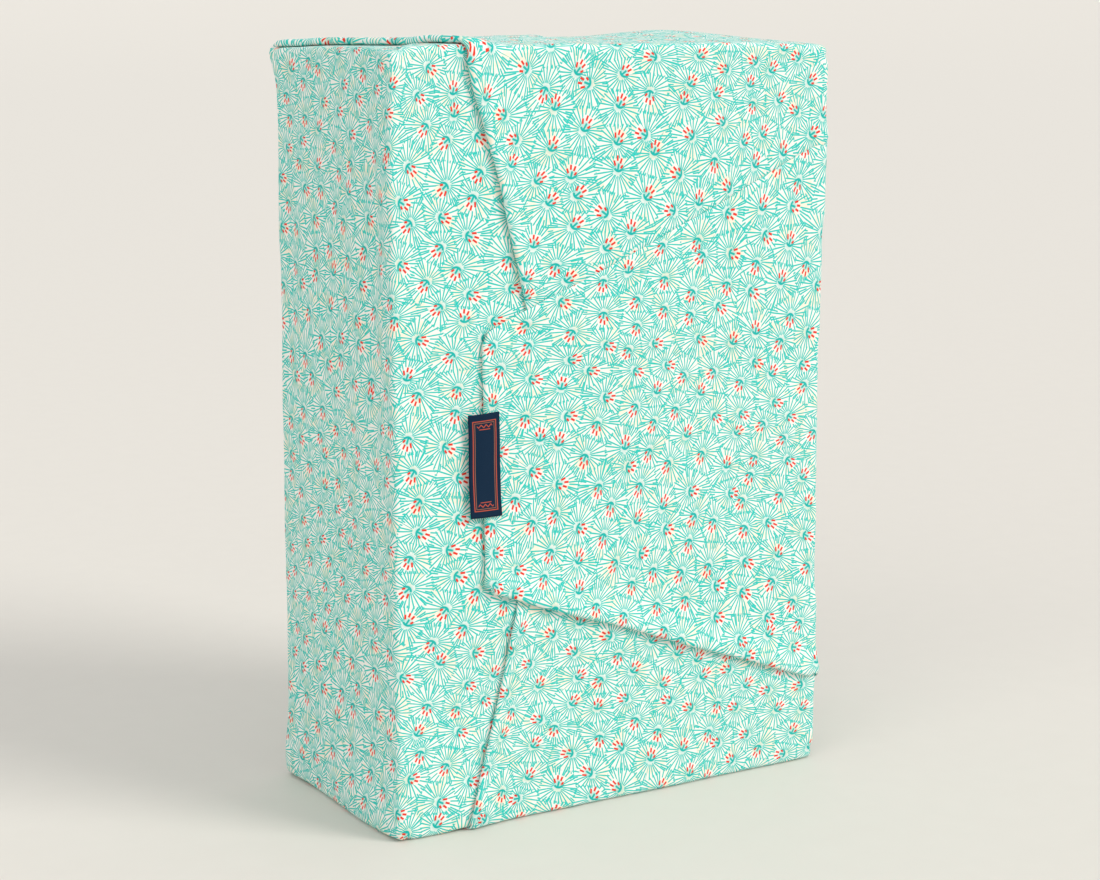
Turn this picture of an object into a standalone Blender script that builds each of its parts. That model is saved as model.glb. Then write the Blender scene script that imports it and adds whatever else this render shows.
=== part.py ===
"""A square cotton cloth folded round a tall flat box shape, kept in place by its own folds, with a
small woven label on the last flap. Sizes are in millimetres until the meshes are written in metres."""

import math

import bmesh
import bpy
import numpy as np
from mathutils import Vector
from mathutils.geometry import delaunay_2d_cdt

MM = 0.001

# The wrapped shape: width across the front, depth front to back, height
W, D, H = 246.0, 121.0, 370.0

# The square cloth, laid with its corners to the left, top, right and bottom
SIDE = 700.0
SHIFT = 16.5
REACH = SIDE / math.sqrt(2.0)

# Pleat angles at the four back corners, in degrees from the shared edge
ANGLE = {"TL": 17.0, "BL": 16.5, "TR": 22.0, "BR": 20.1}

# The tip of the right flap is folded under where its lower pleat reaches the hem
LOWER = math.radians(ANGLE["BR"])
RUN = (REACH + SHIFT - W / 2 - H / 2) / (math.cos(LOWER) - math.sin(LOWER))
TIP = W / 2 + RUN * math.cos(LOWER)

THICK = 1.0
PITCH = 1.85
SLOPE = 0.09
MARGIN = 14.0
LIFT = 0.9
LIFT_WIDTH = 9.0
EDGE_HALF = 5.5
FOLD_HALF = 2.2
HIDDEN_HALF = 7.0
ROWS = 3
GRID = 23.0
PATCH = 3.0
EAR_PATCH = 5.5
HEM_PATCH = 8.0
LUMP = 1.08

LABEL_LONG, LABEL_WIDE, LABEL_THICK = 50.0, 16.0, 0.7
LABEL_LEFT, LABEL_DOWN, LABEL_LEAN = 47.2, 191.5, 1.6
LABEL_CLEAR = 0.45
LABEL_DROOP = 1.6

CLOTH_COLOUR = (0.62, 0.80, 0.72)
LABEL_COLOUR = (0.01, 0.02, 0.06)

# Soft unevenness of the cloth: centre, reach on each axis, push
BUMPS = {
    "top hump": ((6, 2, H), (90, 60, 40), (0, 0, 2.2)),
    "top right hump": ((62, 12, H), (52, 52, 40), (0, 0, 2.8)),
    "front belly": ((20, -D / 2, 190), (90, 40, 130), (0, -2.2, 0)),
    "left valley": ((-W / 2, -14, 215), (40, 20, 130), (3.0, 0, 0)),
    "left belly": ((-W / 2, 24, 140), (40, 24, 100), (-2.0, 0, 0)),
    "left base belly": ((-W / 2, -22, 8), (20, 30, 16), (-1.6, 0, 0)),
    "back belly": ((0, D / 2, 180), (90, 40, 120), (0, 2.0, 0)),
    "right waist": ((W / 2, -10, 200), (40, 60, 170), (-3.2, 0, 0)),
    "back top flare": ((-W / 2, D / 2, H), (18, 22, 14), (-2.6, 2.0, 0)),
    "back base flare": ((-W / 2, D / 2, 10), (20, 20, 20), (-2.0, 1.0, 0)),
    "upper pleat knee": ((W / 2, -D / 2, H - 46), (12, 12, 10), (1.2, -0.8, 0)),
    "lower pleat knee": ((W / 2, -D / 2, 46), (12, 12, 10), (0.7, -0.6, 0)),
    "base pleat knee": ((-W / 2 + 36, -D / 2, 12), (18, 14, 14), (0, -1.8, 0)),
}

# Folded edges that bow sideways on the front: layers, centre across and up, reach across and up, push
BOWS = (
    (("T front", "TL mid front"), (-W / 2 + 72, H - 125), (60, 52), -3.6),
    (("B front", "BL mid front"), (-W / 2 + 67, 112), (60, 46), -3.0),
)

LEFT, RIGHT = np.array((-1.0, 0.0)), np.array((1.0, 0.0))
UP, DOWN = np.array((0.0, 1.0)), np.array((0.0, -1.0))

# Each chart lays one stretch of the flat cloth on a side of the shape: origin, across, up, outward
CHARTS = {
    "back": ((0, D / 2, H / 2), (1, 0, 0), (0, 0, 1), (0, 1, 0)),
    "L side": ((-W / 2, D / 2 + W / 2, H / 2), (0, 1, 0), (0, 0, 1), (-1, 0, 0)),
    "L front": ((-W - D, -D / 2, H / 2), (-1, 0, 0), (0, 0, 1), (0, -1, 0)),
    "R side": ((W / 2, D / 2 + W / 2, H / 2), (0, -1, 0), (0, 0, 1), (1, 0, 0)),
    "R front": ((W + D, -D / 2, H / 2), (-1, 0, 0), (0, 0, 1), (0, -1, 0)),
    "T side": ((0, D / 2 + H / 2, H), (1, 0, 0), (0, -1, 0), (0, 0, 1)),
    "T front": ((0, -D / 2, 1.5 * H + D), (1, 0, 0), (0, 0, -1), (0, -1, 0)),
    "B side": ((0, D / 2 + H / 2, 0), (1, 0, 0), (0, 1, 0), (0, 0, -1)),
    "B front": ((0, -D / 2, -H / 2 - D), (1, 0, 0), (0, 0, -1), (0, -1, 0)),
}
CHARTS = {name: tuple(np.array(part, float) for part in rows) for name, rows in CHARTS.items()}

# Corner of the back panel: its place, the flap folded first, the flap folded second
CORNERS = {
    "TL": ((-W / 2, H / 2), LEFT, UP, "T"),
    "BL": ((-W / 2, -H / 2), LEFT, DOWN, "B"),
    "TR": ((W / 2, H / 2), UP, RIGHT, "R"),
    "BR": ((W / 2, -H / 2), DOWN, RIGHT, "R"),
}

# The layers of each side, inside to outside
STACKS = {
    "back": ["back"],
    "left": ["L side"],
    "front": ["L front", "TL mid front", "T front", "BL mid front", "B front", "R tip",
              "TR mid tip", "BR mid tip", "TR mid front", "BR mid front", "R front"],
    "top": ["TL lower", "TL ear in", "TL ear out", "TL mid side", "T side"],
    "right": ["TR lower", "TR ear in", "TR ear out", "TR mid side",
              "BR lower", "BR ear in", "BR ear out", "BR mid side", "R side"],
    "bottom": ["BL lower", "BL ear in", "BL ear out", "BL mid side", "B side"],
}
FACE_AXES = {"back": (0, 2), "front": (0, 2), "left": (1, 2), "right": (1, 2),
             "top": (0, 1), "bottom": (0, 1)}


def clipped(shape, normal, limit):
    """The part of a convex shape where the distance along the normal is at most the limit."""
    kept = []
    for i, here in enumerate(shape):
        before = shape[i - 1]
        a = before @ normal - limit
        b = here @ normal - limit
        if (a > 1e-7) != (b > 1e-7):
            kept.append(before + (here - before) * a / (a - b))
        if b <= 1e-7:
            kept.append(here)
    tidy = [p for i, p in enumerate(kept) if np.linalg.norm(p - kept[i - 1]) > 1e-5]
    return np.array(tidy)


def mirror(point, normal):
    """A flat mirror as a matrix and an offset."""
    matrix = np.eye(2) - 2.0 * np.outer(normal, normal)
    return matrix, 2.0 * (point @ normal) * normal


def after(second, first):
    return second[0] @ first[0], second[0] @ first[1] + second[1]


def cloth_shape():
    return np.array(((-REACH + SHIFT, 0.0), (SHIFT, -REACH), (REACH + SHIFT, 0.0), (SHIFT, REACH)))


def all_facets():
    """Every flat stretch of the folded cloth: its shape, its chart and how it is turned onto it."""
    cloth = cloth_shape()
    same = (np.eye(2), np.zeros(2))
    facets = {}

    def add(name, shape, chart, turn=same):
        if len(shape) > 2 and area_of(shape) > 1.0:
            facets[name] = {"shape": shape, "chart": chart, "turn": turn}

    def cut(shape, *rules):
        for normal, limit in rules:
            if len(shape) < 3:
                break
            shape = clipped(shape, np.array(normal, float), limit)
        return shape

    add("back", cut(cloth, (LEFT, W / 2), (RIGHT, W / 2), (UP, H / 2), (DOWN, H / 2)), "back")
    level = ((UP, H / 2), (DOWN, H / 2))
    add("L side", cut(cloth, (RIGHT, -W / 2), (LEFT, W / 2 + D), *level), "L side")
    add("L front", cut(cloth, (RIGHT, -W / 2 - D), *level), "L front")
    tilts = {}
    for name, (place, first, second, chain) in CORNERS.items():
        o = np.array(place)
        angle = math.radians(ANGLE[name])
        wide = angle + math.pi / 4
        outer = math.cos(angle) * first + math.sin(angle) * second
        inner = math.sin(wide) * first - math.cos(wide) * second
        tilts[name] = (outer, o @ outer)
        q = o + D * first
        fold = mirror(o, outer)
        edge = mirror(o + D * second, second)
        turned = np.column_stack((second, -first)) @ np.column_stack((first, second)).T
        lay = (turned, o - turned @ o)
        above = (-second, -(o @ second))
        within = (first, q @ first)
        beyond = (-first, -(q @ first))
        split = (second - first) / math.sqrt(2.0)
        add(name + " lower", cut(cloth, above, within, (-inner, -(o @ inner))), chain + " side", lay)
        ear = cut(cloth, above, beyond)
        add(name + " ear in", cut(ear, (-split, -(q @ split))), chain + " side", after(edge, lay))
        rise = (np.eye(2), D * first + D * second)
        flip = np.outer(second, -second) + np.outer(first, -first)
        turn = (flip, o - flip @ o)
        add(name + " ear out", cut(ear, (split, q @ split)), chain + " side", after(rise, turn))
        wedge = cut(cloth, (-outer, -(o @ outer)), (inner, o @ inner))
        across = fold[0].T @ second
        start = fold[1] @ second
        crease = o @ second + D - start
        add(name + " mid side", cut(wedge, (across, crease)), chain + " side", fold)
        far = cut(wedge, (-across, -crease))
        if chain == "R":
            tip = mirror(np.array((TIP, 0.0)), RIGHT)
            add(name + " mid front", cut(far, (across, TIP - start)), "R front", fold)
            add(name + " mid tip", cut(far, (-across, start - TIP)), "R front", after(tip, fold))
        else:
            add(name + " mid front", far, chain + " front", fold)
    for chain, way, corner in (("T", UP, "TL"), ("B", DOWN, "BL")):
        strip = cut(cloth, tilts[corner], (RIGHT, W / 2), (-way, -H / 2))
        add(chain + " side", cut(strip, (way, H / 2 + D)), chain + " side")
        add(chain + " front", cut(strip, (-way, -H / 2 - D)), chain + " front")
    strip = cut(cloth, tilts["TR"], tilts["BR"], (LEFT, -W / 2))
    add("R side", cut(strip, (RIGHT, W / 2 + D)), "R side")
    add("R front", cut(strip, (LEFT, -W / 2 - D), (RIGHT, TIP)), "R front")
    add("R tip", cut(strip, (LEFT, -TIP)), "R front", mirror(np.array((TIP, 0.0)), RIGHT))
    for face, names in STACKS.items():
        for name in names:
            if name in facets:
                finish_facet(facets[name], face)
    return facets


def area_of(shape):
    after_shape = np.roll(shape, -1, axis=0)
    return abs(float((shape[:, 0] * after_shape[:, 1] - shape[:, 1] * after_shape[:, 0]).sum())) / 2.0


def finish_facet(facet, face):
    start, across, up, out = CHARTS[facet["chart"]]
    matrix, offset = facet["turn"]
    axes = np.column_stack((across, up))
    facet["linear"] = axes @ matrix
    facet["origin"] = start + axes @ offset
    facet["out"] = out
    facet["face"] = face
    facet["base"] = facet["shape"] @ facet["linear"].T + facet["origin"]
    facet["plan"] = facet["base"][:, list(FACE_AXES[face])]


def distance_outside(points, shape):
    """How far points lie outside a convex shape, in its plane."""
    best = np.full(len(points), 1e9)
    centre = shape.mean(0)
    inside = np.ones(len(points), bool)
    for i, b in enumerate(shape):
        a = shape[i - 1]
        along = b - a
        t = np.clip((points - a) @ along / (along @ along), 0, 1)
        best = np.minimum(best, np.linalg.norm(points - a - t[:, None] * along, axis=1))
        normal = np.array((along[1], -along[0]))
        if (centre - a) @ normal > 0:
            normal = -normal
        inside &= (points - a) @ normal <= 1e-9
    return np.where(inside, 0.0, best)


def heights(facets, name, base):
    """How far the layers under this one hold it off the side of the shape."""
    face = facets[name]["face"]
    points = base[:, list(FACE_AXES[face])]
    order = [n for n in STACKS[face] if n in facets]
    outward = 1.0
    if face == "bottom":
        order = order[::-1]
        outward = -1.0
    rows = []
    for k, layer in enumerate(order):
        h = np.zeros(len(points))
        for j in range(k):
            away = distance_outside(points, facets[order[j]]["plan"])
            h = np.maximum(h, rows[j] + PITCH - SLOPE * np.maximum(away - MARGIN, 0.0))
        rows.append(h)
        if layer == name:
            break
    return outward * rows[-1] + rolled(facets, name, points)


def rolled(facets, name, points):
    """The outer flaps stand a little prouder along their folded edges."""
    pairs = {"T front": ("TL mid front",), "T side": ("TL mid side",), "B front": ("BL mid front",),
             "R side": ("TR mid side", "BR mid side"), "R front": ("TR mid front", "BR mid front", "R tip")}
    lift = np.zeros(len(points))
    for under in pairs.get(name, ()):
        for a, b in shared_edges(facets[name]["plan"], facets[under]["plan"]):
            along = b - a
            t = np.clip((points - a) @ along / (along @ along), 0, 1)
            away = np.linalg.norm(points - a - t[:, None] * along, axis=1)
            lift = np.maximum(lift, LIFT * np.exp(-((away / LIFT_WIDTH) ** 2)))
    return lift


def shared_edges(first, second):
    found = []
    for i in range(len(first)):
        a, b = first[i - 1], first[i]
        for j in range(len(second)):
            c, d = second[j - 1], second[j]
            same = max(np.linalg.norm(a - c), np.linalg.norm(b - d))
            turned = max(np.linalg.norm(a - d), np.linalg.norm(b - c))
            if min(same, turned) < 1e-3:
                found.append((a, b))
    return found


def placed(facets, name, flat):
    facet = facets[name]
    base = flat @ facet["linear"].T + facet["origin"]
    moved = base + heights(facets, name, base)[:, None] * facet["out"]
    for names, centre, reach, push in BOWS:
        if name in names:
            across = (base[:, 0] - centre[0]) / reach[0]
            up = (base[:, 2] - centre[1]) / reach[1]
            moved[:, 0] += push * np.exp(-(across**2) - up**2)
    return moved


def all_creases(facets):
    creases = []
    names = list(facets)
    for i, a in enumerate(names):
        for b in names[i + 1 :]:
            for start, end in shared_edges(facets[a]["shape"], facets[b]["shape"]):
                along = (end - start) / np.linalg.norm(end - start)
                side = np.array((-along[1], along[0]))
                if (facets[b]["shape"].mean(0) - start) @ side < 0:
                    side = -side
                a_way = facets[a]["linear"] @ side
                b_way = facets[b]["linear"] @ -side
                turn = math.degrees(math.acos(max(-1.0, min(1.0, -float(a_way @ b_way)))))
                half = EDGE_HALF if turn < 100 else FOLD_HALF
                if turn > 100 and min(abs(abs(start) - abs(end))) < 1e-6 and a.endswith("lower"):
                    half = HIDDEN_HALF
                creases.append({"a": a, "b": b, "ends": (start, end), "side": side, "a_way": a_way,
                                "b_way": b_way, "turn": turn, "half": half})
    return creases


def on_hem(point):
    u, v = np.array(point) - np.array((SHIFT, 0.0))
    return abs(abs(u) + abs(v) - REACH) < 2e-2


def key_of(point):
    return tuple(np.round(point, 2) + 0.0)


def all_knots(creases):
    """The points inside the cloth where creases meet, and how far each crease keeps away from them."""
    knots = {}
    for k, crease in enumerate(creases):
        for end in (0, 1):
            knots.setdefault(key_of(crease["ends"][end]), []).append((k, end))
    knots = {point: users for point, users in knots.items() if not on_hem(point) or len(users) > 1}
    starts = {}
    for point, users in knots.items():
        rays = []
        for k, end in users:
            crease = creases[k]
            way = crease["ends"][1 - end] - crease["ends"][end]
            rays.append((math.atan2(way[1], way[0]), k, end, crease["half"]))
        rays.sort()
        for i, (angle, k, end, half) in enumerate(rays):
            need = 0.0
            for other, turned in ((rays[i - 1], -1), (rays[(i + 1) % len(rays)], 1)):
                gap = (turned * (other[0] - angle)) % (2 * math.pi)
                if gap < math.pi - 1e-3:
                    need = max(need, (other[3] + half * math.cos(gap)) / math.sin(gap))
            ear = any(creases[user]["half"] == HIDDEN_HALF for user, _ in users)
            starts[(k, end)] = HEM_PATCH if on_hem(point) else need + (EAR_PATCH if ear else PATCH)
            if creases[k]["a"].endswith("ear in"):
                starts[(k, end)] += EAR_PATCH
    return knots, starts


def hem_hit(start, way):
    """How far along a line the hem of the cloth is."""
    best = 1e9
    for su in (-1, 1):
        for sv in (-1, 1):
            speed = su * way[0] + sv * way[1]
            if speed > 1e-9:
                best = min(best, (REACH - su * (start[0] - SHIFT) - sv * start[1]) / speed)
    return best


class Sheet:
    """The flat cloth as points, each with its place in the folded shape."""

    def __init__(self):
        self.flat = []
        self.place = []
        self.edges = []

    def add(self, flat, place):
        self.flat.append(np.array(flat))
        self.place.append(np.array(place))
        return len(self.flat) - 1


def strip_rows(facets, crease, k, starts, sheet, hems):
    """One crease as a narrow band, rounded from the facet on one side to the facet on the other."""
    a, b = crease["ends"]
    length = np.linalg.norm(b - a)
    along = (b - a) / length
    side, half = crease["side"], crease["half"]
    steps = max(1, int(round((length - 6.0) / GRID)))
    froms, tos = [], []
    for r in range(ROWS + 1):
        t = half * (2.0 * r / ROWS - 1.0)
        near = starts.get((k, 0))
        far = starts.get((k, 1))
        row = a + t * side
        froms.append(-hem_hit(row, -along) if near is None else near)
        tos.append(hem_hit(row, along) if far is None else length - far)
    if min(tos[r] - froms[r] for r in range(ROWS + 1)) < 0.5:
        raise ValueError("crease too short between " + crease["a"] + " and " + crease["b"])
    table = []
    for r in range(ROWS + 1):
        t = half * (2.0 * r / ROWS - 1.0)
        s = froms[r] + (tos[r] - froms[r]) * np.arange(steps + 1) / steps
        line = a + s[:, None] * along
        start = placed(facets, crease["a"], line - half * side)
        end = placed(facets, crease["b"], line + half * side)
        chord = np.linalg.norm(end - start, axis=1)[:, None]
        reach = chord * (0.39 + 0.277 * max(0.0, crease["turn"] - 90.0) / 90.0)
        one = start + reach * crease["a_way"]
        two = end + reach * crease["b_way"]
        x = r / ROWS
        place = (1 - x) ** 3 * start + 3 * (1 - x) ** 2 * x * one + 3 * (1 - x) * x**2 * two + x**3 * end
        table.append([sheet.add(f, p) for f, p in zip(line + t * side, place)])
    for row in table:
        sheet.edges += list(zip(row[:-1], row[1:]))
    for column, end in ((0, 0), (steps, 1)):
        ring = [row[column] for row in table]
        sheet.edges += list(zip(ring[:-1], ring[1:]))
        if (k, end) not in starts:
            hems += ring
    crease["table"] = table


def knot_patches(facets, creases, knots, sheet, hems):
    """Marks the middle of each knot, which is pressed to a small lump afterwards."""
    patches = []
    rings = []
    for point, users in knots.items():
        rays = []
        for k, end in users:
            crease = creases[k]
            way = crease["ends"][1 - end] - crease["ends"][end]
            ring = [row[0 if end == 0 else -1] for row in crease["table"]]
            turned = way[0] * crease["side"][1] - way[1] * crease["side"][0]
            if turned < 0:
                ring = ring[::-1]
            rays.append((math.atan2(way[1], way[0]), ring))
        rays.sort(key=lambda ray: ray[0])
        loop = [index for ray in rays for index in ray[1]]
        for i, (angle, ring) in enumerate(rays):
            if (angle - rays[i - 1][0]) % (2 * math.pi) < math.pi - 1e-3:
                sheet.edges.append((rays[i - 1][1][-1], ring[0]))
        middle = np.mean([sheet.place[i] for i in loop], axis=0)
        centre = sheet.add(point, middle)
        if on_hem(point):
            hems.append(centre)
        else:
            rings.append((loop, centre))
        patches.append((np.array(point), max(np.linalg.norm(sheet.flat[i] - point) for i in loop)))
    return patches, rings


def fill_points(facets, creases, patches, sheet):
    """Points inside each facet, on one grid for all the layers of a side."""
    for name, facet in facets.items():
        axes = list(FACE_AXES[facet["face"]])
        matrix = facet["linear"][axes]
        offset = facet["origin"][axes]
        low, high = facet["plan"].min(0), facet["plan"].max(0)
        rise = GRID * math.sqrt(3.0) / 2.0
        grid = []
        for j in range(int(low[1] // rise), int(high[1] // rise) + 2):
            for i in range(int(low[0] // GRID) - 1, int(high[0] // GRID) + 2):
                grid.append(((i + 0.5 * (j % 2)) * GRID, j * rise))
        grid = np.array(grid)
        flat = (grid - offset) @ matrix
        keep = np.ones(len(flat), bool)
        shape = facet["shape"]
        middle = shape.mean(0)
        for i, b in enumerate(shape):
            a = shape[i - 1]
            normal = np.array((b[1] - a[1], a[0] - b[0])) / np.linalg.norm(b - a)
            if (middle - a) @ normal > 0:
                normal = -normal
            margin = 0.42 * GRID
            if not (on_hem(a) and on_hem(b) and on_hem((a + b) / 2)):
                margin += 3.0
            keep &= (flat - a) @ normal < -margin
        for point, radius in patches:
            keep &= np.linalg.norm(flat - point, axis=1) > radius + 0.4 * GRID
        flat = flat[keep]
        for f, p in zip(flat, placed(facets, name, flat)):
            sheet.add(f, p)


def hem_points(facets, hems, sheet):
    """The outline of the cloth, with the ends of the creases among its points."""
    corners = cloth_shape()
    owners = list(facets)
    for i, b in enumerate(corners):
        a = corners[i - 1]
        along = (b - a) / np.linalg.norm(b - a)
        marks = [(0.0, None), (SIDE, None)]
        for index in hems:
            away = sheet.flat[index] - a
            if abs(away[0] * along[1] - away[1] * along[0]) < 1e-3:
                marks.append((float(away @ along), index))
        marks.sort(key=lambda mark: mark[0])
        line = []
        for m, (s, index) in enumerate(marks):
            if m:
                before, old = marks[m - 1]
                # Points inside a band are there already, so only the stretches between bands are divided
                steps = max(1, int(round((s - before) / GRID)))
                for step in range(1, steps):
                    line.append((before + (s - before) * step / steps, None))
            line.append((s, index))
        chain = []
        for s, index in line:
            if index is None:
                flat = a + s * along
                index = next((j for j, p in enumerate(sheet.flat) if np.linalg.norm(p - flat) < 1e-4), None)
                if index is None:
                    owner = min(owners, key=lambda n: distance_outside(
                        flat[None] * 0.9999 + 0.0001 * np.array((SHIFT, 0.0)), facets[n]["shape"])[0])
                    index = sheet.add(flat, placed(facets, owner, flat[None])[0])
            chain.append(index)
        sheet.edges += [(p, q) for p, q in zip(chain[:-1], chain[1:]) if p != q]


def warped(points):
    moved = points.copy()
    for centre, reach, push in BUMPS.values():
        away = (points - np.array(centre, float)) / np.array(reach, float)
        moved += np.exp(-(away**2).sum(1))[:, None] * np.array(push, float)
    floor = np.clip(points[:, 2] / 12.0, 0, 1)
    moved[:, 2] = points[:, 2] + (moved[:, 2] - points[:, 2]) * floor
    return moved


def folded_cloth():
    facets = all_facets()
    creases = all_creases(facets)
    knots, starts = all_knots(creases)
    sheet = Sheet()
    hems = []
    for k, crease in enumerate(creases):
        strip_rows(facets, crease, k, starts, sheet, hems)
    patches, rings = knot_patches(facets, creases, knots, sheet, hems)
    fill_points(facets, creases, patches, sheet)
    hem_points(facets, hems, sheet)
    flat = [Vector(p) for p in sheet.flat]
    result = delaunay_2d_cdt(flat, sheet.edges, [], 1, 1e-5)
    points, faces, sources = result[0], result[2], result[3]
    places = []
    index_of = {}
    for i, point in enumerate(points):
        if not sources[i]:
            raise ValueError("two creases cross at " + str(point))
        places.append(sheet.place[sources[i][0]])
        for source in sources[i]:
            index_of[source] = i
    places = warped(np.array(places) + np.array((0.0, 0.0, THICK / 2)))
    centres = {index_of[centre] for loop, centre in rings}
    faces = [tuple(face)[::-1] for face in faces if not centres & set(face)]
    lumps = [places[[index_of[i] for i in loop]] for loop, centre in rings]
    return places, faces, facets, lumps


def mesh_object(name, places, faces, home):
    mesh = bpy.data.meshes.new(name)
    mesh.from_pydata([tuple(p * MM) for p in places], [], faces)
    mesh.update()
    thing = bpy.data.objects.new(name, mesh)
    home.objects.link(thing)
    return thing


def finish(thing, name, colour, roughness):
    look = bpy.data.materials.new(name)
    look.use_nodes = True
    shader = look.node_tree.nodes["Principled BSDF"]
    shader.inputs["Base Color"].default_value = (*colour, 1.0)
    shader.inputs["Roughness"].default_value = roughness
    shader.inputs["Metallic"].default_value = 0.0
    thing.data.materials.append(look)


def thicken(thing, amount):
    coat = thing.modifiers.new("Cloth thickness", "SOLIDIFY")
    coat.thickness = amount * MM
    coat.offset = 0.0
    coat.use_even_offset = False
    bpy.context.view_layer.objects.active = thing
    bpy.ops.object.modifier_apply(modifier=coat.name)


def press_knots(thing, lumps):
    """Closes each opening at a knot with a small lump, as bunched cloth is pressed together."""
    for number, points in enumerate(lumps):
        middle = points.mean(0)
        body = bmesh.new()
        for point in points:
            body.verts.new(tuple((middle + LUMP * (point - middle)) * MM))
        bmesh.ops.convex_hull(body, input=body.verts)
        loose = [v for v in body.verts if not v.link_faces]
        bmesh.ops.delete(body, geom=loose, context="VERTS")
        bmesh.ops.triangulate(body, faces=body.faces)
        bmesh.ops.recalc_face_normals(body, faces=body.faces)
        mesh = bpy.data.meshes.new("Lump")
        body.to_mesh(mesh)
        body.free()
        lump = bpy.data.objects.new("Lump", mesh)
        bpy.context.scene.collection.objects.link(lump)
        join = thing.modifiers.new("Lump", "BOOLEAN")
        join.operation = "UNION"
        # The exact solver leaves edges with four faces where these lumps touch folded layers
        join.solver = "MANIFOLD"
        join.object = lump
        bpy.context.view_layer.objects.active = thing
        bpy.ops.object.modifier_apply(modifier=join.name)
        bpy.data.objects.remove(lump)
    keep_largest(thing)


def keep_largest(thing):
    """Drops the small closed pockets that pressed folds leave behind."""
    body = bmesh.new()
    body.from_mesh(thing.data)
    left = set(body.faces)
    shells = []
    while left:
        seed = left.pop()
        shell, edge = [seed], [seed]
        while edge:
            face = edge.pop()
            for near in {other for side in face.edges for other in side.link_faces} & left:
                left.discard(near)
                shell.append(near)
                edge.append(near)
        shells.append(shell)
    shells.sort(key=len)
    for shell in shells[:-1]:
        bmesh.ops.delete(body, geom=shell, context="FACES")
    loose = [v for v in body.verts if not v.link_faces]
    bmesh.ops.delete(body, geom=loose, context="VERTS")
    bmesh.ops.triangulate(body, faces=body.faces)
    body.to_mesh(thing.data)
    body.free()


def label(facets):
    """A thin strip on the edge of the last flap, its free side drooping towards the layer below."""
    steps_wide, steps_long = 6, 8
    places, faces = [], []
    lean = math.radians(LABEL_LEAN)
    for j in range(steps_long + 1):
        for i in range(steps_wide + 1):
            a = LABEL_WIDE * (i / steps_wide - 0.5)
            b = LABEL_LONG * (0.5 - j / steps_long)
            x = -W / 2 + LABEL_LEFT + a * math.cos(lean) - b * math.sin(lean)
            z = H - LABEL_DOWN + b * math.cos(lean) + a * math.sin(lean) * 0.4
            places.append((x, -D / 2, z))
            if i and j:
                n = steps_wide + 1
                here = j * n + i
                faces.append((here - n - 1, here - 1, here, here - n))
    base = np.array(places)
    edge = -W / 2 + (W + D - TIP) + W / 2
    flap = placed(facets, "R front", np.column_stack((
        np.minimum(W + D - base[:, 0], TIP - 1.0), base[:, 2] - H / 2)))
    top = flap[:, 1].min()
    droop = LABEL_DROOP * np.clip((edge - base[:, 0] - 1.0) / 8.0, 0, 1) ** 1.5
    base[:, 1] = top + droop
    moved = warped(base + np.array((0.0, 0.0, THICK / 2)))
    moved[:, 1] -= THICK / 2 + LABEL_THICK / 2 + LABEL_CLEAR
    return moved, faces


def main():
    for thing in list(bpy.data.objects):
        bpy.data.objects.remove(thing)
    home = bpy.data.collections.new("Furoshiki wrap")
    bpy.context.scene.collection.children.link(home)
    places, faces, facets, lumps = folded_cloth()
    cloth = mesh_object("wrap_cloth", places, faces, home)
    thicken(cloth, THICK)
    press_knots(cloth, lumps)
    finish(cloth, "printed cotton", CLOTH_COLOUR, 0.85)
    places, faces = label(facets)
    tag = mesh_object("woven_label", places, faces, home)
    thicken(tag, LABEL_THICK)
    finish(tag, "woven label", LABEL_COLOUR, 0.7)


if __name__ == "__main__":
    main()
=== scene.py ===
"""A square printed cloth folded round a tall flat box shape, with a small woven label on its last flap.

The cloth is folded flat part by flat part, as by hand, and its print follows the flat cloth."""

import math

import bpy
import numpy as np
from bpy.props import FloatProperty, FloatVectorProperty, IntProperty, PointerProperty
from mathutils import Matrix, Vector, noise
from mathutils.geometry import delaunay_2d_cdt


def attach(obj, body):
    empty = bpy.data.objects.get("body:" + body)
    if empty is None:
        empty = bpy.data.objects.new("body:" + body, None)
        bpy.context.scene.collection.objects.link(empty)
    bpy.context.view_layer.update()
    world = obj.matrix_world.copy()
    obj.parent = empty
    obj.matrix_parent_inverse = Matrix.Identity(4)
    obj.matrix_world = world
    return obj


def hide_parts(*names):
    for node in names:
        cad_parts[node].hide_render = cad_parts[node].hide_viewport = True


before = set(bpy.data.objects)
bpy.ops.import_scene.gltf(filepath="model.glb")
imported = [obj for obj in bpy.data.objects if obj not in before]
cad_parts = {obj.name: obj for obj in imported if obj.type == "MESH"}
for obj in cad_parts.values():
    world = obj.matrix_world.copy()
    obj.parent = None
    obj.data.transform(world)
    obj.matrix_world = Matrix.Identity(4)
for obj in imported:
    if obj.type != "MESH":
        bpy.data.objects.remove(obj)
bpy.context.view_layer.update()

bl_info = {
    "name": "Furoshiki wrap",
    "version": (1, 0, 0),
    "blender": (4, 5, 0),
    "location": "3D View > Sidebar > Furoshiki",
    "description": "A printed cloth folded round a box shape, with a woven label",
    "category": "Object",
}

MM = 0.001

# Directions on the flat cloth
LEFT, RIGHT = np.array((-1.0, 0.0)), np.array((1.0, 0.0))
UP, DOWN = np.array((0.0, 1.0)), np.array((0.0, -1.0))

# The lattice of the print is turned against the threads, in radians
LATTICE_TURN = 0.32

# How near the cloth's points lie to each other, and the rows across a crease, in mm
GRID = 5.0
KNOT_GRID = 2.2
ROWS = 5
# Points of a grid keep this far from the points of creases and knots, in mm
CLEAR = 0.42 * GRID
KNOT_CLEAR = 0.45 * KNOT_GRID

# Half of the flat width that a bend takes: round a box edge, at a fold, at a fold hidden on a box edge
EDGE_HALF = 2.7
FOLD_HALF = 1.6
HIDDEN_HALF = 2.9
# A crease that turns further than this, in degrees, is a fold, and any other goes round a box edge
FOLD_TURN = 100
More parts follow.
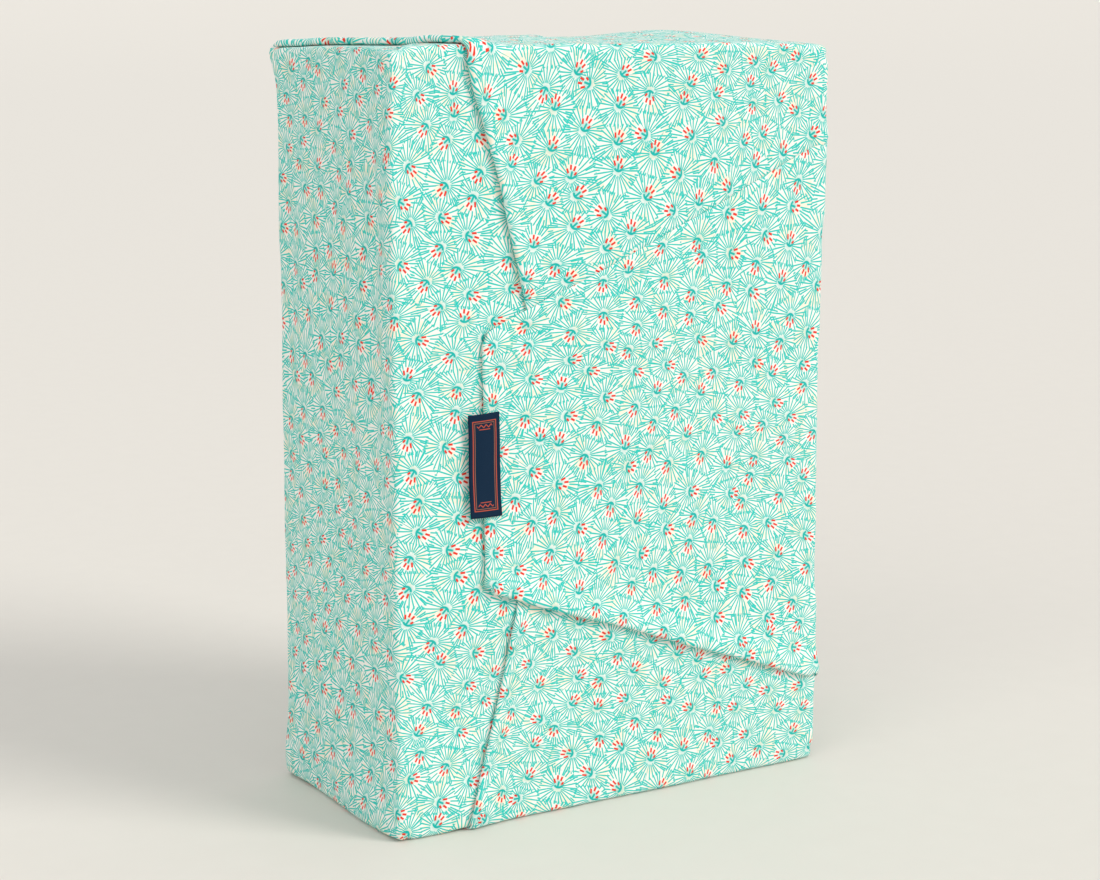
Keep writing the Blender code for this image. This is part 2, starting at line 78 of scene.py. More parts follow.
# Arms of a bend's curve as shares of its chord: for a right angle, and what a flat fold adds to that
BEND_ARM = 0.39
FOLD_ARM_MORE = 0.277

# How far a crease stops short of the point where it meets others
PATCH = 1.6
EAR_PATCH = 3.0
HEM_PATCH = 4.0

# An upper layer stays level this far beyond the edge of the one below, then comes down at this slope
LEVEL_RUN = 2.5
SLOPE = 0.13

# The layers of each side, inside to outside
STACKS = {
    "back": ["back"],
    "left": ["L side"],
    "front": ["L front", "TL mid front", "T front", "BL mid front", "B front", "R tip",
              "TR mid tip", "BR mid tip", "TR mid front", "BR mid front", "R front"],
    "top": ["TL lower", "TL ear in", "TL ear out", "TL mid side", "T side"],
    "right": ["TR lower", "TR ear in", "TR ear out", "TR mid side",
              "BR lower", "BR ear in", "BR ear out", "BR mid side", "R side"],
    "bottom": ["BL lower", "BL ear in", "BL ear out", "BL mid side", "B side"],
}
FACE_AXES = {"back": (0, 2), "front": (0, 2), "left": (1, 2), "right": (1, 2),
             "top": (0, 1), "bottom": (0, 1)}

# Folded edges that stand a little proud. For each layer folded under: the lift, the width,
# and how far from its upper end the lift has grown to its full size, in mm
ROLLS = {
    "T front": {"TL mid front": (2.8, 8.0, 1.0)},
    "T side": {"TL mid side": (2.6, 12.0, 1.0)},
    "B front": {"BL mid front": (2.2, 7.0, 1.0)},
    "R side": {"TR mid side": (0.3, 7.0, 1.0), "BR mid side": (1.2, 7.0, 1.0)},
    "R front": {"TR mid front": (0.3, 6.0, 1.0), "BR mid front": (3.2, 9.0, 1.0), "R tip": (2.2, 8.0, 22.0)},
}
# These lie flat again where the last flap covers them, from this far outside it, in mm
COVERED = ("T front", "B front")
COVERED_RUN = 9.0

# Folded edges that bow sideways on the front: layers, centre from left and up, reach, push, in mm
BOWS = (
    (("T front", "TL mid front"), ("left+72", "top-125"), (60, 52), -3.6),
    (("B front", "BL mid front"), ("left+67", "base+112"), (60, 46), -3.0),
)

# Soft unevenness of the cloth, in mm: centre, reach on each axis, push. A word in a centre stands for
# a place on the wrapped shape, such as its left or its top, and the number after it is added.
SWELLS = {
    "top belly": ((0, -8, "top"), (105, 72, 45), (0, 0, 3.2)),
    "top left hump": (("left+50", 4, "top"), (44, 50, 40), (0, 0, 0.6)),
    "top middle hump": ((-18, 22, "top"), (40, 45, 40), (0, 0, 1.2)),
    "top right hump": (("right-50", 12, "top"), (44, 52, 40), (0, 0, 5.4)),
    "front belly": ((20, "front", 190), (90, 40, 130), (0, -2.2, 0)),
    "left front valley": (("left", -39, 245), (40, 10, 105), (2.8, 0, 0)),
    "left back valley": (("left", 49, 278), (40, 9, 50), (1.8, 0, 0)),
    "left valley": (("left", -8, 160), (40, 22, 110), (1.2, 0, 0)),
    "left belly": (("left", 24, 140), (40, 24, 100), (-2.0, 0, 0)),
    "left base belly": (("left", -22, 8), (20, 30, 16), (-2.4, 0, 0)),
    "back belly": ((0, "back", 180), (90, 40, 120), (0, 2.0, 0)),
    "right waist": (("right", -10, 200), (40, 60, 170), (-2.4, 0, 0)),
    "back top flare": (("left", "back", "top"), (18, 22, 11), (-2.6, 2.0, -0.6)),
    "back base flare": (("left", "back", 10), (20, 20, 20), (-2.0, 1.0, 0)),
    "upper pleat knee": (("right", "front", "top-46"), (9, 10, 5), (1.4, -0.8, 0)),
    "upper pleat rise": (("right-20", "front", "top-52"), (62, 30, 22), (0, 0, 2.8)),
    "lower pleat knee": (("right", "front", 46), (9, 10, 8), (0.7, -0.6, 0)),
    "base pleat knee": (("left+36", "front", 12), (18, 14, 14), (0, -1.8, 0)),
}
# Over this height the push upwards grows from none at the base to its full size, in mm
SWELL_RISE = 12.0
CRUMPLE_RISE = 10.0

# The slight unevenness all over has slow and quick waves: their size and push, in mm
SLOW_WAVE, SLOW_PUSH = 46.0, 1.1
QUICK_WAVE, QUICK_PUSH = 17.0, 0.35
QUICK_PLACE = Vector((7.0, 3.0, 5.0))
CRUMPLE_SHARE = 0.8
# The noise that makes it comes out the same each time with the same seed
CRUMPLE_SEED = 5

# The label's strip: how far its ends lean as a share of its sides, how it droops past the folded edge
# and curls at its ends, and the air below it, in mm
LABEL_END_LEAN = 0.4
LABEL_DROOP_RUN = 8.0
LABEL_CURL = 0.25
LABEL_AIR = 0.15
# Its frame: two lines, each with its distance from the side and from the end, and its width, in mm
OUTER_LINE = (2.1, 3.4, 0.42)
INNER_LINE = (3.0, 4.3, 0.28)
LINE_EDGE = 0.12
PEAKS_FROM_END = 5.2
PEAK_HEIGHT = 1.3

# The floor is flat up to the first radius and then rises gently: radius and height, in metres
FLOOR_RINGS = ((12.0, 0.0), (13.0, 0.0), (16.0, 0.08), (20.0, 0.4), (26.0, 1.2), (40.0, 4.0))

# The print, in mm and radians. Every soft edge is a pair: where a line is nothing, and where it is full.
LATTICE_WANDER = 16.0
WANDER_WAVE = 110.0
# Rows slip and sprays shift by chance over these shares of a cell
LATTICE_SLIP = 0.08
SPRAY_SHIFT = 0.17
# Three ways that the sprays point: down to the right, down to the left, up to the left. A spray
# whose chance is above the first number of a turn takes that turn.
SPRAY_WAY = -0.95
SPRAY_TURNS = ((0.53, -1.75), (0.84, -1.5))
SPRAY_SWAY = 0.75
# Needles fan out from the top of the hook, which is this far behind the middle of the spray
ROOT_BEHIND = 0.6
NEEDLE_EDGE = (0.45, 0.23)
# Growth of a needle's width with each mm, and its width at the root as a share of the full width
NEEDLE_TAPER = (0.05, 0.65)
NEEDLE_SWAY = 0.26
# How far the length of needles varies, and the shortest
NEEDLE_LONG = (5.0, 13.0)
NEEDLE_START = (-0.3, 0.4)
NEEDLE_END = (0.25, -0.25)
# The first needles and those between them: a shift in slots, the nearest start, how far it varies
NEEDLE_SETS = ((0.0, 1.9, 0.8), (0.5, 6.0, 6.0))
# In front, within these angles, they start beyond the dashes: how much further, and the nearest start
FRONT_ANGLES = (0.80, 0.50)
FRONT_START = (4.4, 1.9)
# A pale glow of the needles' colour lies round the root
GLOW_AHEAD = 0.5
GLOW_EDGE = (4.4, 1.0)
GLOW_STRENGTH = 0.45
# The hook is most of a ring, with a stem along its middle
HOOK_AHEAD = 1.5
HOOK_RADIUS = 2.2
HOOK_EDGE = (0.68, 0.40)
HOOK_LEAN = 0.34
HOOK_ENDS = (1.80, 2.00)
STEM_EDGE = (0.60, 0.36)
STEM_ENDS = ((-1.0, -0.6), (2.9, 2.1))
# The dashes fan out in slots of this angle; the inner ones start further out, the last one is short
DASH_BEHIND = 1.7
DASH_SLOT = 0.33
DASH_EDGE = (0.58, 0.38)
DASH_MIDDLE = 0.65
DASH_START = (-1.6, 5.2)
DASH_START_VARIES = 0.4
DASH_LONG = (-0.7, 2.5)
# A needle of another spray ends this far inside the nearest spray
OVERLAP = (1.8, 0.6)
# Warm patches of the ground: the size of the waves, where they show, how strong they are
PATCH_WAVE = 9.0
PATCH_EDGE = (0.50, 0.64)
PATCH_STRENGTH = 0.7
# Six sparse layers of sprays: shift across, shift up, seed
LAYERS = ((0.0, 0.0, 2.0), (0.5, 0.03, 5.0), (0.25, 0.33, 9.0),
          (0.75, 0.36, 14.0), (0.02, 0.66, 21.0), (0.5, 0.70, 27.0))

# Soft even lights: the way each comes from, its softness in degrees, its strength, its colour
LAMPS = {
    "key": ((1.25, -1.75, 1.35), 26.0, 2.0, (1.0, 0.985, 0.96)),
    "fill": ((-1.6, -0.9, 1.0), 50.0, 0.9, (1.0, 0.98, 0.95)),
    "top": ((0.1, 0.3, 1.9), 60.0, 0.3, (1.0, 1.0, 1.0)),
}
SKY_COLOUR = (0.97, 0.98, 1.0, 1.0)
SKY_STRENGTH = 0.68
FLOOR_TONES = ((0.664, 0.632, 0.574, 1.0), (0.684, 0.652, 0.594, 1.0))

# The camera looks at a point above the middle of the base, a little to its left
CAMERA_AZIMUTH = math.radians(-31.295)
CAMERA_ELEVATION = math.radians(10.67)
CAMERA_DISTANCE = 1.1711
CAMERA_LENS = 75.35
LOOK_UP = 0.1729
LOOK_RIGHT = -0.002


def length(title, about, default, digits=3):
    return FloatProperty(name=title, description=about, default=default, unit="LENGTH", precision=digits)


def angle(title, about, degrees):
    return FloatProperty(name=title, description=about, default=math.radians(degrees), unit="ROTATION")


def ink(title, about, default):
    return FloatVectorProperty(name=title, description=about, default=default, subtype="COLOR", size=3)


class WrapSizes(bpy.types.PropertyGroup):
    """Sizes of the wrapped shape, of the cloth and of its label."""

    width: length("Width", "Width of the wrapped shape", 0.246)
    depth: length("Depth", "Depth of the wrapped shape, front to back", 0.121)
    height: length("Height", "Height of the wrapped shape", 0.370)
    side: length("Cloth side", "Side of the square cloth", 0.700)
    shift: length("Shift", "How far the cloth lies to the right of the middle", 0.0165, 4)
    top_left: angle("Top left pleat", "Angle of the pleat at the top left", 17.0)
    base_left: angle("Base left pleat", "Angle of the pleat at the base left", 16.5)
    top_right: angle("Top right pleat", "Angle of the pleat at the top right", 22.0)
    base_right: angle("Base right pleat", "Angle of the pleat at the base right", 20.1)
    pitch: length("Layer pitch", "Distance from one layer to the next", 0.0006, 4)
    thickness: length("Cloth thickness", "Thickness of the cotton", 0.0003, 4)
    label_long: length("Label length", "Length of the woven label", 0.050)
    label_wide: length("Label width", "Width of the woven label", 0.016)
    label_left: length("Label from the left", "From the left edge to the label's middle", 0.0457, 4)
    label_down: length("Label from the top", "From the top to the label's middle", 0.1915, 4)
    label_lean: angle("Label lean", "How far the label leans to the left", 1.6)
    label_thickness: length("Label thickness", "Thickness of the woven label", 0.00055, 5)


class WrapColours(bpy.types.PropertyGroup):
    """Colours and scale of the print and of the label."""

    ground: ink("Ground", "Colour of the cotton between the print", (0.80, 0.785, 0.735))
    cream: ink("Cream patches", "Pale warm patches of the ground", (0.84, 0.73, 0.55))
    needle: ink("Needles", "Thin printed needles", (0.012, 0.51, 0.445))
    hook: ink("Hooks", "Short thick hook in each spray", (0.0, 0.40, 0.36))
    dash: ink("Dashes", "Short red dashes in each spray", (0.70, 0.03, 0.01))
    label: ink("Label ground", "Woven ground of the label", (0.001, 0.013, 0.034))
    frame_red: ink("Label frame", "Thread of the label's frame", (0.50, 0.085, 0.04))
    frame_tan: ink("Label second thread", "Second thread of the frame", (0.37, 0.15, 0.07))
    cell: length("Print cell", "Side of one cell of each layer of sprays", 0.0395, 4)
    needles: IntProperty(name="Needles in a spray", default=25,
                         description="Long needles in a full turn of a spray")


def clipped(shape, normal, limit):
    """The part of a convex shape where the distance along the normal is at most the limit."""
    kept = []
    for i, here in enumerate(shape):
        before = shape[i - 1]
        a = before @ normal - limit
        b = here @ normal - limit
        if (a > 1e-7) != (b > 1e-7):
            kept.append(before + (here - before) * a / (a - b))
        if b <= 1e-7:
            kept.append(here)
    tidy = [p for i, p in enumerate(kept) if np.linalg.norm(p - kept[i - 1]) > 1e-5]
    return np.array(tidy)


def mirror(point, normal):
    """A flat mirror as a matrix and an offset."""
    return np.eye(2) - 2.0 * np.outer(normal, normal), 2.0 * (point @ normal) * normal


def after(second, first):
    return second[0] @ first[0], second[0] @ first[1] + second[1]


def area_of(shape):
    turned = np.roll(shape, -1, axis=0)
    return abs(float((shape[:, 0] * turned[:, 1] - shape[:, 1] * turned[:, 0]).sum())) / 2.0


def distance_to_edge(points, a, b):
    along = b - a
    t = np.clip((points - a) @ along / max(along @ along, 1e-12), 0, 1)
    return np.linalg.norm(points - a - t[:, None] * along, axis=1)


def pointing_out(normal, edge, middle):
    """The normal of an edge turned away from the middle of its shape."""
    return -normal if (middle - edge) @ normal > 0 else normal


def distance_outside(points, shape):
    """How far points lie outside a convex shape, in its plane."""
    best = np.full(len(points), 1e9)
    centre = shape.mean(0)
    inside = np.ones(len(points), bool)
    for i, b in enumerate(shape):
        a = shape[i - 1]
        best = np.minimum(best, distance_to_edge(points, a, b))
        normal = pointing_out(np.array((b[1] - a[1], a[0] - b[0])), a, centre)
        inside &= (points - a) @ normal <= 1e-9
    return np.where(inside, 0.0, best)


def inside_loop(points, loop):
    """Which points lie inside a closed loop of any shape."""
    inside = np.zeros(len(points), bool)
    for i, b in enumerate(loop):
        a = loop[i - 1]
        crosses = (a[1] > points[:, 1]) != (b[1] > points[:, 1])
        if abs(b[1] - a[1]) > 1e-12:
            at = (b[0] - a[0]) * (points[:, 1] - a[1]) / (b[1] - a[1]) + a[0]
            inside ^= crosses & (points[:, 0] < at)
    return inside


def distance_to_loop(points, loop):
    return np.min([distance_to_edge(points, loop[i - 1], b) for i, b in enumerate(loop)], axis=0)


def shared_edges(first, second):
    found = []
    for i in range(len(first)):
        a, b = first[i - 1], first[i]
        for j in range(len(second)):
            c, d = second[j - 1], second[j]
            same = max(np.linalg.norm(a - c), np.linalg.norm(b - d))
            turned = max(np.linalg.norm(a - d), np.linalg.norm(b - c))
            if min(same, turned) < 1e-3:
                found.append((a, b))
    return found


def hex_grid(low, high, pitch):
    rise = pitch * math.sqrt(3.0) / 2.0
    grid = []
    for j in range(int(low[1] // rise), int(high[1] // rise) + 2):
        for i in range(int(low[0] // pitch) - 1, int(high[0] // pitch) + 2):
            grid.append(((i + 0.5 * (j % 2)) * pitch, j * rise))
    return np.array(grid)


def key_of(point):
    return tuple(np.round(point, 2) + 0.0)


class FoldedCloth:
    """The square cloth cut in thought into flat stretches, each laid on a side of the wrapped shape."""

    def __init__(self, sizes):
        self.sizes = sizes
        self.w, self.d, self.h = sizes.width / MM, sizes.depth / MM, sizes.height / MM
        self.side = sizes.side / MM
        self.shift = sizes.shift / MM
        self.reach = self.side / math.sqrt(2.0)
        self.pitch = sizes.pitch / MM
        self.thick = sizes.thickness / MM
        self.angles = {"TL": sizes.top_left, "BL": sizes.base_left,
                       "TR": sizes.top_right, "BR": sizes.base_right}
        # The tip of the right flap is folded under where its lower pleat reaches the hem
        lower = self.angles["BR"]
        run = (self.reach + self.shift - self.w / 2 - self.h / 2) / (math.cos(lower) - math.sin(lower))
        self.tip = self.w / 2 + run * math.cos(lower)
        self.charts = self.make_charts()
        self.facets = self.make_facets()
        self.creases = self.make_creases()
        self.knots, self.starts = self.make_knots()
        self.flat, self.place, self.edges, self.loose = [], [], [], {}

    def make_charts(self):
        """Each chart lays one stretch of the flat cloth on a side: origin, across, up, outward."""
        w, d, h = self.w, self.d, self.h
        charts = {
            "back": ((0, d / 2, h / 2), (1, 0, 0), (0, 0, 1), (0, 1, 0)),
            "L side": ((-w / 2, d / 2 + w / 2, h / 2), (0, 1, 0), (0, 0, 1), (-1, 0, 0)),
            "L front": ((-w - d, -d / 2, h / 2), (-1, 0, 0), (0, 0, 1), (0, -1, 0)),
            "R side": ((w / 2, d / 2 + w / 2, h / 2), (0, -1, 0), (0, 0, 1), (1, 0, 0)),
            "R front": ((w + d, -d / 2, h / 2), (-1, 0, 0), (0, 0, 1), (0, -1, 0)),
            "T side": ((0, d / 2 + h / 2, h), (1, 0, 0), (0, -1, 0), (0, 0, 1)),
            "T front": ((0, -d / 2, 1.5 * h + d), (1, 0, 0), (0, 0, -1), (0, -1, 0)),
            "B side": ((0, d / 2 + h / 2, 0), (1, 0, 0), (0, 1, 0), (0, 0, -1)),
            "B front": ((0, -d / 2, -h / 2 - d), (1, 0, 0), (0, 0, -1), (0, -1, 0)),
        }
        return {name: tuple(np.array(part, float) for part in rows) for name, rows in charts.items()}

    def outline(self):
        return np.array(((self.shift - self.reach, 0.0), (self.shift, -self.reach),
                         (self.shift + self.reach, 0.0), (self.shift, self.reach)))

    def make_facets(self):
        cloth = self.outline()
        w, d, h = self.w, self.d, self.h
        same = (np.eye(2), np.zeros(2))
        facets = {}

        def add(name, shape, chart, turn=same):
            if len(shape) > 2 and area_of(shape) > 1.0:
                facets[name] = {"shape": shape, "chart": chart, "turn": turn}

        def cut(shape, *rules):
            for normal, limit in rules:
                if len(shape) < 3:
                    break
                shape = clipped(shape, np.array(normal, float), limit)
            return shape

        add("back", cut(cloth, (LEFT, w / 2), (RIGHT, w / 2), (UP, h / 2), (DOWN, h / 2)), "back")
        level = ((UP, h / 2), (DOWN, h / 2))
        add("L side", cut(cloth, (RIGHT, -w / 2), (LEFT, w / 2 + d), *level), "L side")
        add("L front", cut(cloth, (RIGHT, -w / 2 - d), *level), "L front")
        # Corner of the back panel: its place, the flap folded first, the flap folded second
        corners = {
            "TL": ((-w / 2, h / 2), LEFT, UP, "T"),
            "BL": ((-w / 2, -h / 2), LEFT, DOWN, "B"),
            "TR": ((w / 2, h / 2), UP, RIGHT, "R"),
            "BR": ((w / 2, -h / 2), DOWN, RIGHT, "R"),
        }
        tilts = {}
        for name, (place, first, second, chain) in corners.items():
            o = np.array(place)
            angle = self.angles[name]
            wide = angle + math.pi / 4
            outer = math.cos(angle) * first + math.sin(angle) * second
            inner = math.sin(wide) * first - math.cos(wide) * second
            tilts[name] = (outer, o @ outer)
            q = o + d * first
            fold = mirror(o, outer)
            edge = mirror(o + d * second, second)
            turned = np.column_stack((second, -first)) @ np.column_stack((first, second)).T
            lay = (turned, o - turned @ o)
            above = (-second, -(o @ second))
            within = (first, q @ first)
            beyond = (-first, -(q @ first))
            split = (second - first) / math.sqrt(2.0)
            add(name + " lower", cut(cloth, above, within, (-inner, -(o @ inner))), chain + " side", lay)
            ear = cut(cloth, above, beyond)
            add(name + " ear in", cut(ear, (-split, -(q @ split))), chain + " side", after(edge, lay))
            rise = (np.eye(2), d * first + d * second)
            flip = np.outer(second, -second) + np.outer(first, -first)
            add(name + " ear out", cut(ear, (split, q @ split)), chain + " side",
                after(rise, (flip, o - flip @ o)))
            wedge = cut(cloth, (-outer, -(o @ outer)), (inner, o @ inner))
            across = fold[0].T @ second
            start = fold[1] @ second
            crease = o @ second + d - start
            add(name + " mid side", cut(wedge, (across, crease)), chain + " side", fold)
            far = cut(wedge, (-across, -crease))
            if chain == "R":
                tip = mirror(np.array((self.tip, 0.0)), RIGHT)
                add(name + " mid front", cut(far, (across, self.tip - start)), "R front", fold)
                add(name + " mid tip", cut(far, (-across, start - self.tip)), "R front", after(tip, fold))
            else:
                add(name + " mid front", far, chain + " front", fold)
        for chain, way, corner in (("T", UP, "TL"), ("B", DOWN, "BL")):
            strip = cut(cloth, tilts[corner], (RIGHT, w / 2), (-way, -h / 2))
            add(chain + " side", cut(strip, (way, h / 2 + d)), chain + " side")
            add(chain + " front", cut(strip, (-way, -h / 2 - d)), chain + " front")
        strip = cut(cloth, tilts["TR"], tilts["BR"], (LEFT, -w / 2))
        add("R side", cut(strip, (RIGHT, w / 2 + d)), "R side")
        add("R front", cut(strip, (LEFT, -w / 2 - d), (RIGHT, self.tip)), "R front")
        add("R tip", cut(strip, (LEFT, -self.tip)), "R front", mirror(np.array((self.tip, 0.0)), RIGHT))
        for face, names in STACKS.items():
            for name in names:
                if name in facets:
                    self.lay(facets[name], face)
        return facets

    def lay(self, facet, face):
        start, across, up, out = self.charts[facet["chart"]]
        matrix, offset = facet["turn"]
        axes = np.column_stack((across, up))
        facet["linear"] = axes @ matrix
        facet["origin"] = start + axes @ offset
        facet["out"] = out
        facet["face"] = face
        facet["base"] = facet["shape"] @ facet["linear"].T + facet["origin"]
        facet["plan"] = facet["base"][:, list(FACE_AXES[face])]
        facet["halves"] = {}

    def heights(self, name, base):
        """How far the layers under this one hold it off the side of the shape."""
        face = self.facets[name]["face"]
        points = base[:, list(FACE_AXES[face])]
        order = [n for n in STACKS[face] if n in self.facets]
        outward = 1.0
        if face == "bottom":
            order = order[::-1]
            outward = -1.0
        rows = []
        for k, layer in enumerate(order):
            h = np.zeros(len(points))
            for j in range(k):
                away = distance_outside(points, self.facets[order[j]]["plan"])
                h = np.maximum(h, rows[j] + self.pitch - SLOPE * np.maximum(away - LEVEL_RUN, 0.0))
            rows.append(h)
            if layer == name:
                break
        return outward * rows[-1] + self.rolled(name, points)

    def rolled(self, name, points):
        """The outer flaps stand a little prouder along their folded edges."""
        lift = np.zeros(len(points))
        for under, (amount, width, grown) in ROLLS.get(name, {}).items():
            for a, b in shared_edges(self.facets[name]["plan"], self.facets[under]["plan"]):
                away = distance_to_edge(points, a, b)
                share = np.clip((max(a[1], b[1]) - points[:, 1]) / grown, 0, 1) if grown > 1.0 else 1.0
                lift = np.maximum(lift, amount * share * np.exp(-((away / width) ** 2)))
        if name in COVERED:
            lift *= np.clip(distance_outside(points, self.facets["R front"]["plan"]) / COVERED_RUN, 0, 1)
        return lift

    def placed(self, name, flat):
        facet = self.facets[name]
        base = flat @ facet["linear"].T + facet["origin"]
        moved = base + self.heights(name, base)[:, None] * facet["out"]
        for names, centre, reach, push in BOWS:
            if name in names:
                x = (base[:, 0] - spot(centre[0], self.sizes)) / reach[0]
                z = (base[:, 2] - spot(centre[1], self.sizes)) / reach[1]
                moved[:, 0] += push * np.exp(-(x**2) - z**2)
        return moved

    def make_creases(self):
        creases = []
        names = list(self.facets)
        for i, a in enumerate(names):
            for b in names[i + 1 :]:
                first, second = self.facets[a], self.facets[b]
                for start, end in shared_edges(first["shape"], second["shape"]):
                    along = (end - start) / np.linalg.norm(end - start)
                    side = np.array((-along[1], along[0]))
                    if (second["shape"].mean(0) - start) @ side < 0:
                        side = -side
                    a_way = first["linear"] @ side
                    b_way = second["linear"] @ -side
                    turn = math.degrees(math.acos(max(-1.0, min(1.0, -float(a_way @ b_way)))))
                    half = EDGE_HALF if turn < FOLD_TURN else FOLD_HALF
                    if turn > FOLD_TURN and min(abs(abs(start) - abs(end))) < 1e-6 and a.endswith("lower"):
                        half = HIDDEN_HALF
                    key = frozenset((key_of(start), key_of(end)))
                    first["halves"][key] = half
                    second["halves"][key] = half
                    creases.append({"a": a, "b": b, "ends": (start, end), "side": side, "a_way": a_way,
                                    "b_way": b_way, "turn": turn, "half": half})
        return creases

    def on_hem(self, point):
        u, v = np.array(point) - np.array((self.shift, 0.0))
        return abs(abs(u) + abs(v) - self.reach) < 2e-2

    def make_knots(self):
        """The points where creases meet, and how far each crease keeps away from them."""
        knots = {}
        for k, crease in enumerate(self.creases):
            for end in (0, 1):
                knots.setdefault(key_of(crease["ends"][end]), []).append((k, end))
        knots = {point: users for point, users in knots.items() if not self.on_hem(point) or len(users) > 1}
        starts = {}
        for point, users in knots.items():
            rays = []
            for k, end in users:
                crease = self.creases[k]
                way = crease["ends"][1 - end] - crease["ends"][end]
                rays.append((math.atan2(way[1], way[0]), k, end, crease["half"]))
            rays.sort()
            ear = any(self.creases[user]["half"] == HIDDEN_HALF for user, _ in users)
            for i, (angle, k, end, half) in enumerate(rays):
                need = 0.0
                for other, turned in ((rays[i - 1], -1), (rays[(i + 1) % len(rays)], 1)):
                    gap = (turned * (other[0] - angle)) % (2 * math.pi)
                    if gap < math.pi - 1e-3:
                        need = max(need, (other[3] + half * math.cos(gap)) / math.sin(gap))
                starts[(k, end)] = HEM_PATCH if self.on_hem(point) else need + (EAR_PATCH if ear else PATCH)
        return knots, starts

    def hem_hit(self, start, way):
        """How far along a line the hem of the cloth is."""
        best = 1e9
        for su in (-1, 1):
            for sv in (-1, 1):
                speed = su * way[0] + sv * way[1]
                if speed > 1e-9:
                    best = min(best, (self.reach - su * (start[0] - self.shift) - sv * start[1]) / speed)
        return best

    def add(self, flat, place):
        self.flat.append(np.array(flat))
        self.place.append(np.array(place))
        return len(self.flat) - 1

    def make_strip(self, k, crease, hems):
        """One crease as a narrow band, rounded from the stretch on one side to the one on the other."""
        a, b = crease["ends"]
        length = np.linalg.norm(b - a)
        along = (b - a) / length
        side, half = crease["side"], crease["half"]
        near, far = self.starts.get((k, 0)), self.starts.get((k, 1))
        steps = max(1, int(round((length - 6.0) / GRID)))
        lines, across = [], []
        for r in range(ROWS + 1):
            t = half * (2.0 * r / ROWS - 1.0)
            row = a + t * side
            begin = -self.hem_hit(row, -along) if near is None else near
            finish = self.hem_hit(row, along) if far is None else length - far
            if finish - begin < 0.5:
                raise ValueError("crease too short between " + crease["a"] + " and " + crease["b"])
            s = begin + (finish - begin) * np.arange(steps + 1) / steps
            lines.append(a + s[:, None] * along)
            across.append(t)
        line = np.concatenate(lines)
        start = self.placed(crease["a"], line - half * side)
        end = self.placed(crease["b"], line + half * side)
        chord = np.linalg.norm(end - start, axis=1)[:, None]
        sharp = max(0.0, crease["turn"] - 90.0) / 90.0
        arm = chord * (BEND_ARM + FOLD_ARM_MORE * sharp)
        if sharp > 0.9 and half == FOLD_HALF:
            # A pressed fold keeps the cloth's width, so its bend reaches out to the crease line
            arm = np.maximum(arm, (half - 0.15 * chord) / 0.75)
        one = start + arm * crease["a_way"]
        two = end + arm * crease["b_way"]
        x = np.repeat(np.arange(ROWS + 1) / ROWS, steps + 1)[:, None]
        place = (1 - x) ** 3 * start + 3 * (1 - x) ** 2 * x * one + 3 * (1 - x) * x**2 * two + x**3 * end
        flat = line + np.repeat(np.array(across), steps + 1)[:, None] * side
        rows = [self.add(f, p) for f, p in zip(flat, place)]
        table = [rows[r * (steps + 1) : (r + 1) * (steps + 1)] for r in range(ROWS + 1)]
        for row in table:
            self.edges += list(zip(row[:-1], row[1:]))
        for column, end_number in ((0, 0), (steps, 1)):
            ring = [row[column] for row in table]
            self.edges += list(zip(ring[:-1], ring[1:]))
            if (k, end_number) not in self.starts:
                hems += ring
        crease["table"] = table

    def make_knot_patches(self, hems):
        """Points inside each knot, which take their place from the cloth round it."""
        patches = []
        for point, users in self.knots.items():
            rays = []
            for k, end in users:
                crease = self.creases[k]
                way = crease["ends"][1 - end] - crease["ends"][end]
                ring = [row[0 if end == 0 else -1] for row in crease["table"]]
                if way[0] * crease["side"][1] - way[1] * crease["side"][0] < 0:
                    ring = ring[::-1]
                rays.append((math.atan2(way[1], way[0]), ring))
            rays.sort(key=lambda ray: ray[0])
            loop = [index for ray in rays for index in ray[1]]
            middle = np.mean([self.place[i] for i in loop], axis=0)
            edge = np.array([self.flat[i] for i in loop])
            corner = self.sharp_corner(point, users)
            if self.on_hem(point):
                hems.append(self.add(point, middle))
                self.loose[hems[-1]] = (0.0, corner)
            else:
                for i, (angle, ring) in enumerate(rays):
                    self.edges.append((rays[i - 1][1][-1], ring[0]))
                grid = hex_grid(edge.min(0), edge.max(0), KNOT_GRID)
                grid = grid[inside_loop(grid, edge) & (distance_to_loop(grid, edge) > KNOT_CLEAR)]
                wide = distance_to_loop(np.array([point]), edge)[0]
                for f in grid:
                    near = max(0.0, 1.0 - np.linalg.norm(f - point) / wide)
                    self.loose[self.add(f, middle)] = (near, corner)
            patches.append((np.array(point), edge, self.on_hem(point)))
        return patches

    def sharp_corner(self, point, users):
        """Where the cloth at a knot would be if every crease were sharp."""
        names = {self.creases[k][side] for k, _ in users for side in ("a", "b")}
        return np.mean([self.placed(name, np.array([point]))[0] for name in names], axis=0)

    def fill(self, patches):
        """Points inside each stretch, on one grid for all the layers of a side."""
        for name, facet in self.facets.items():
            axes = list(FACE_AXES[facet["face"]])
            grid = hex_grid(facet["plan"].min(0), facet["plan"].max(0), GRID)
            flat = (grid - facet["origin"][axes]) @ facet["linear"][axes]
            keep = np.ones(len(flat), bool)
            shape = facet["shape"]
            middle = shape.mean(0)
            for i, b in enumerate(shape):
                a = shape[i - 1]
                normal = np.array((b[1] - a[1], a[0] - b[0])) / np.linalg.norm(b - a)
                normal = pointing_out(normal, a, middle)
                half = facet["halves"].get(frozenset((key_of(a), key_of(b))), 0.0)
                keep &= (flat - a) @ normal < -half - CLEAR
            flat = flat[keep]
            for point, edge, open_end in patches:
                if not len(flat):
                    break
                near = distance_to_loop(flat, edge) < CLEAR
                if open_end:
                    near |= np.linalg.norm(flat - point, axis=1) < HEM_PATCH + 2.0
                else:
                    near |= inside_loop(flat, edge)
                flat = flat[~near]
            if len(flat):
                for f, p in zip(flat, self.placed(name, flat)):
                    self.add(f, p)

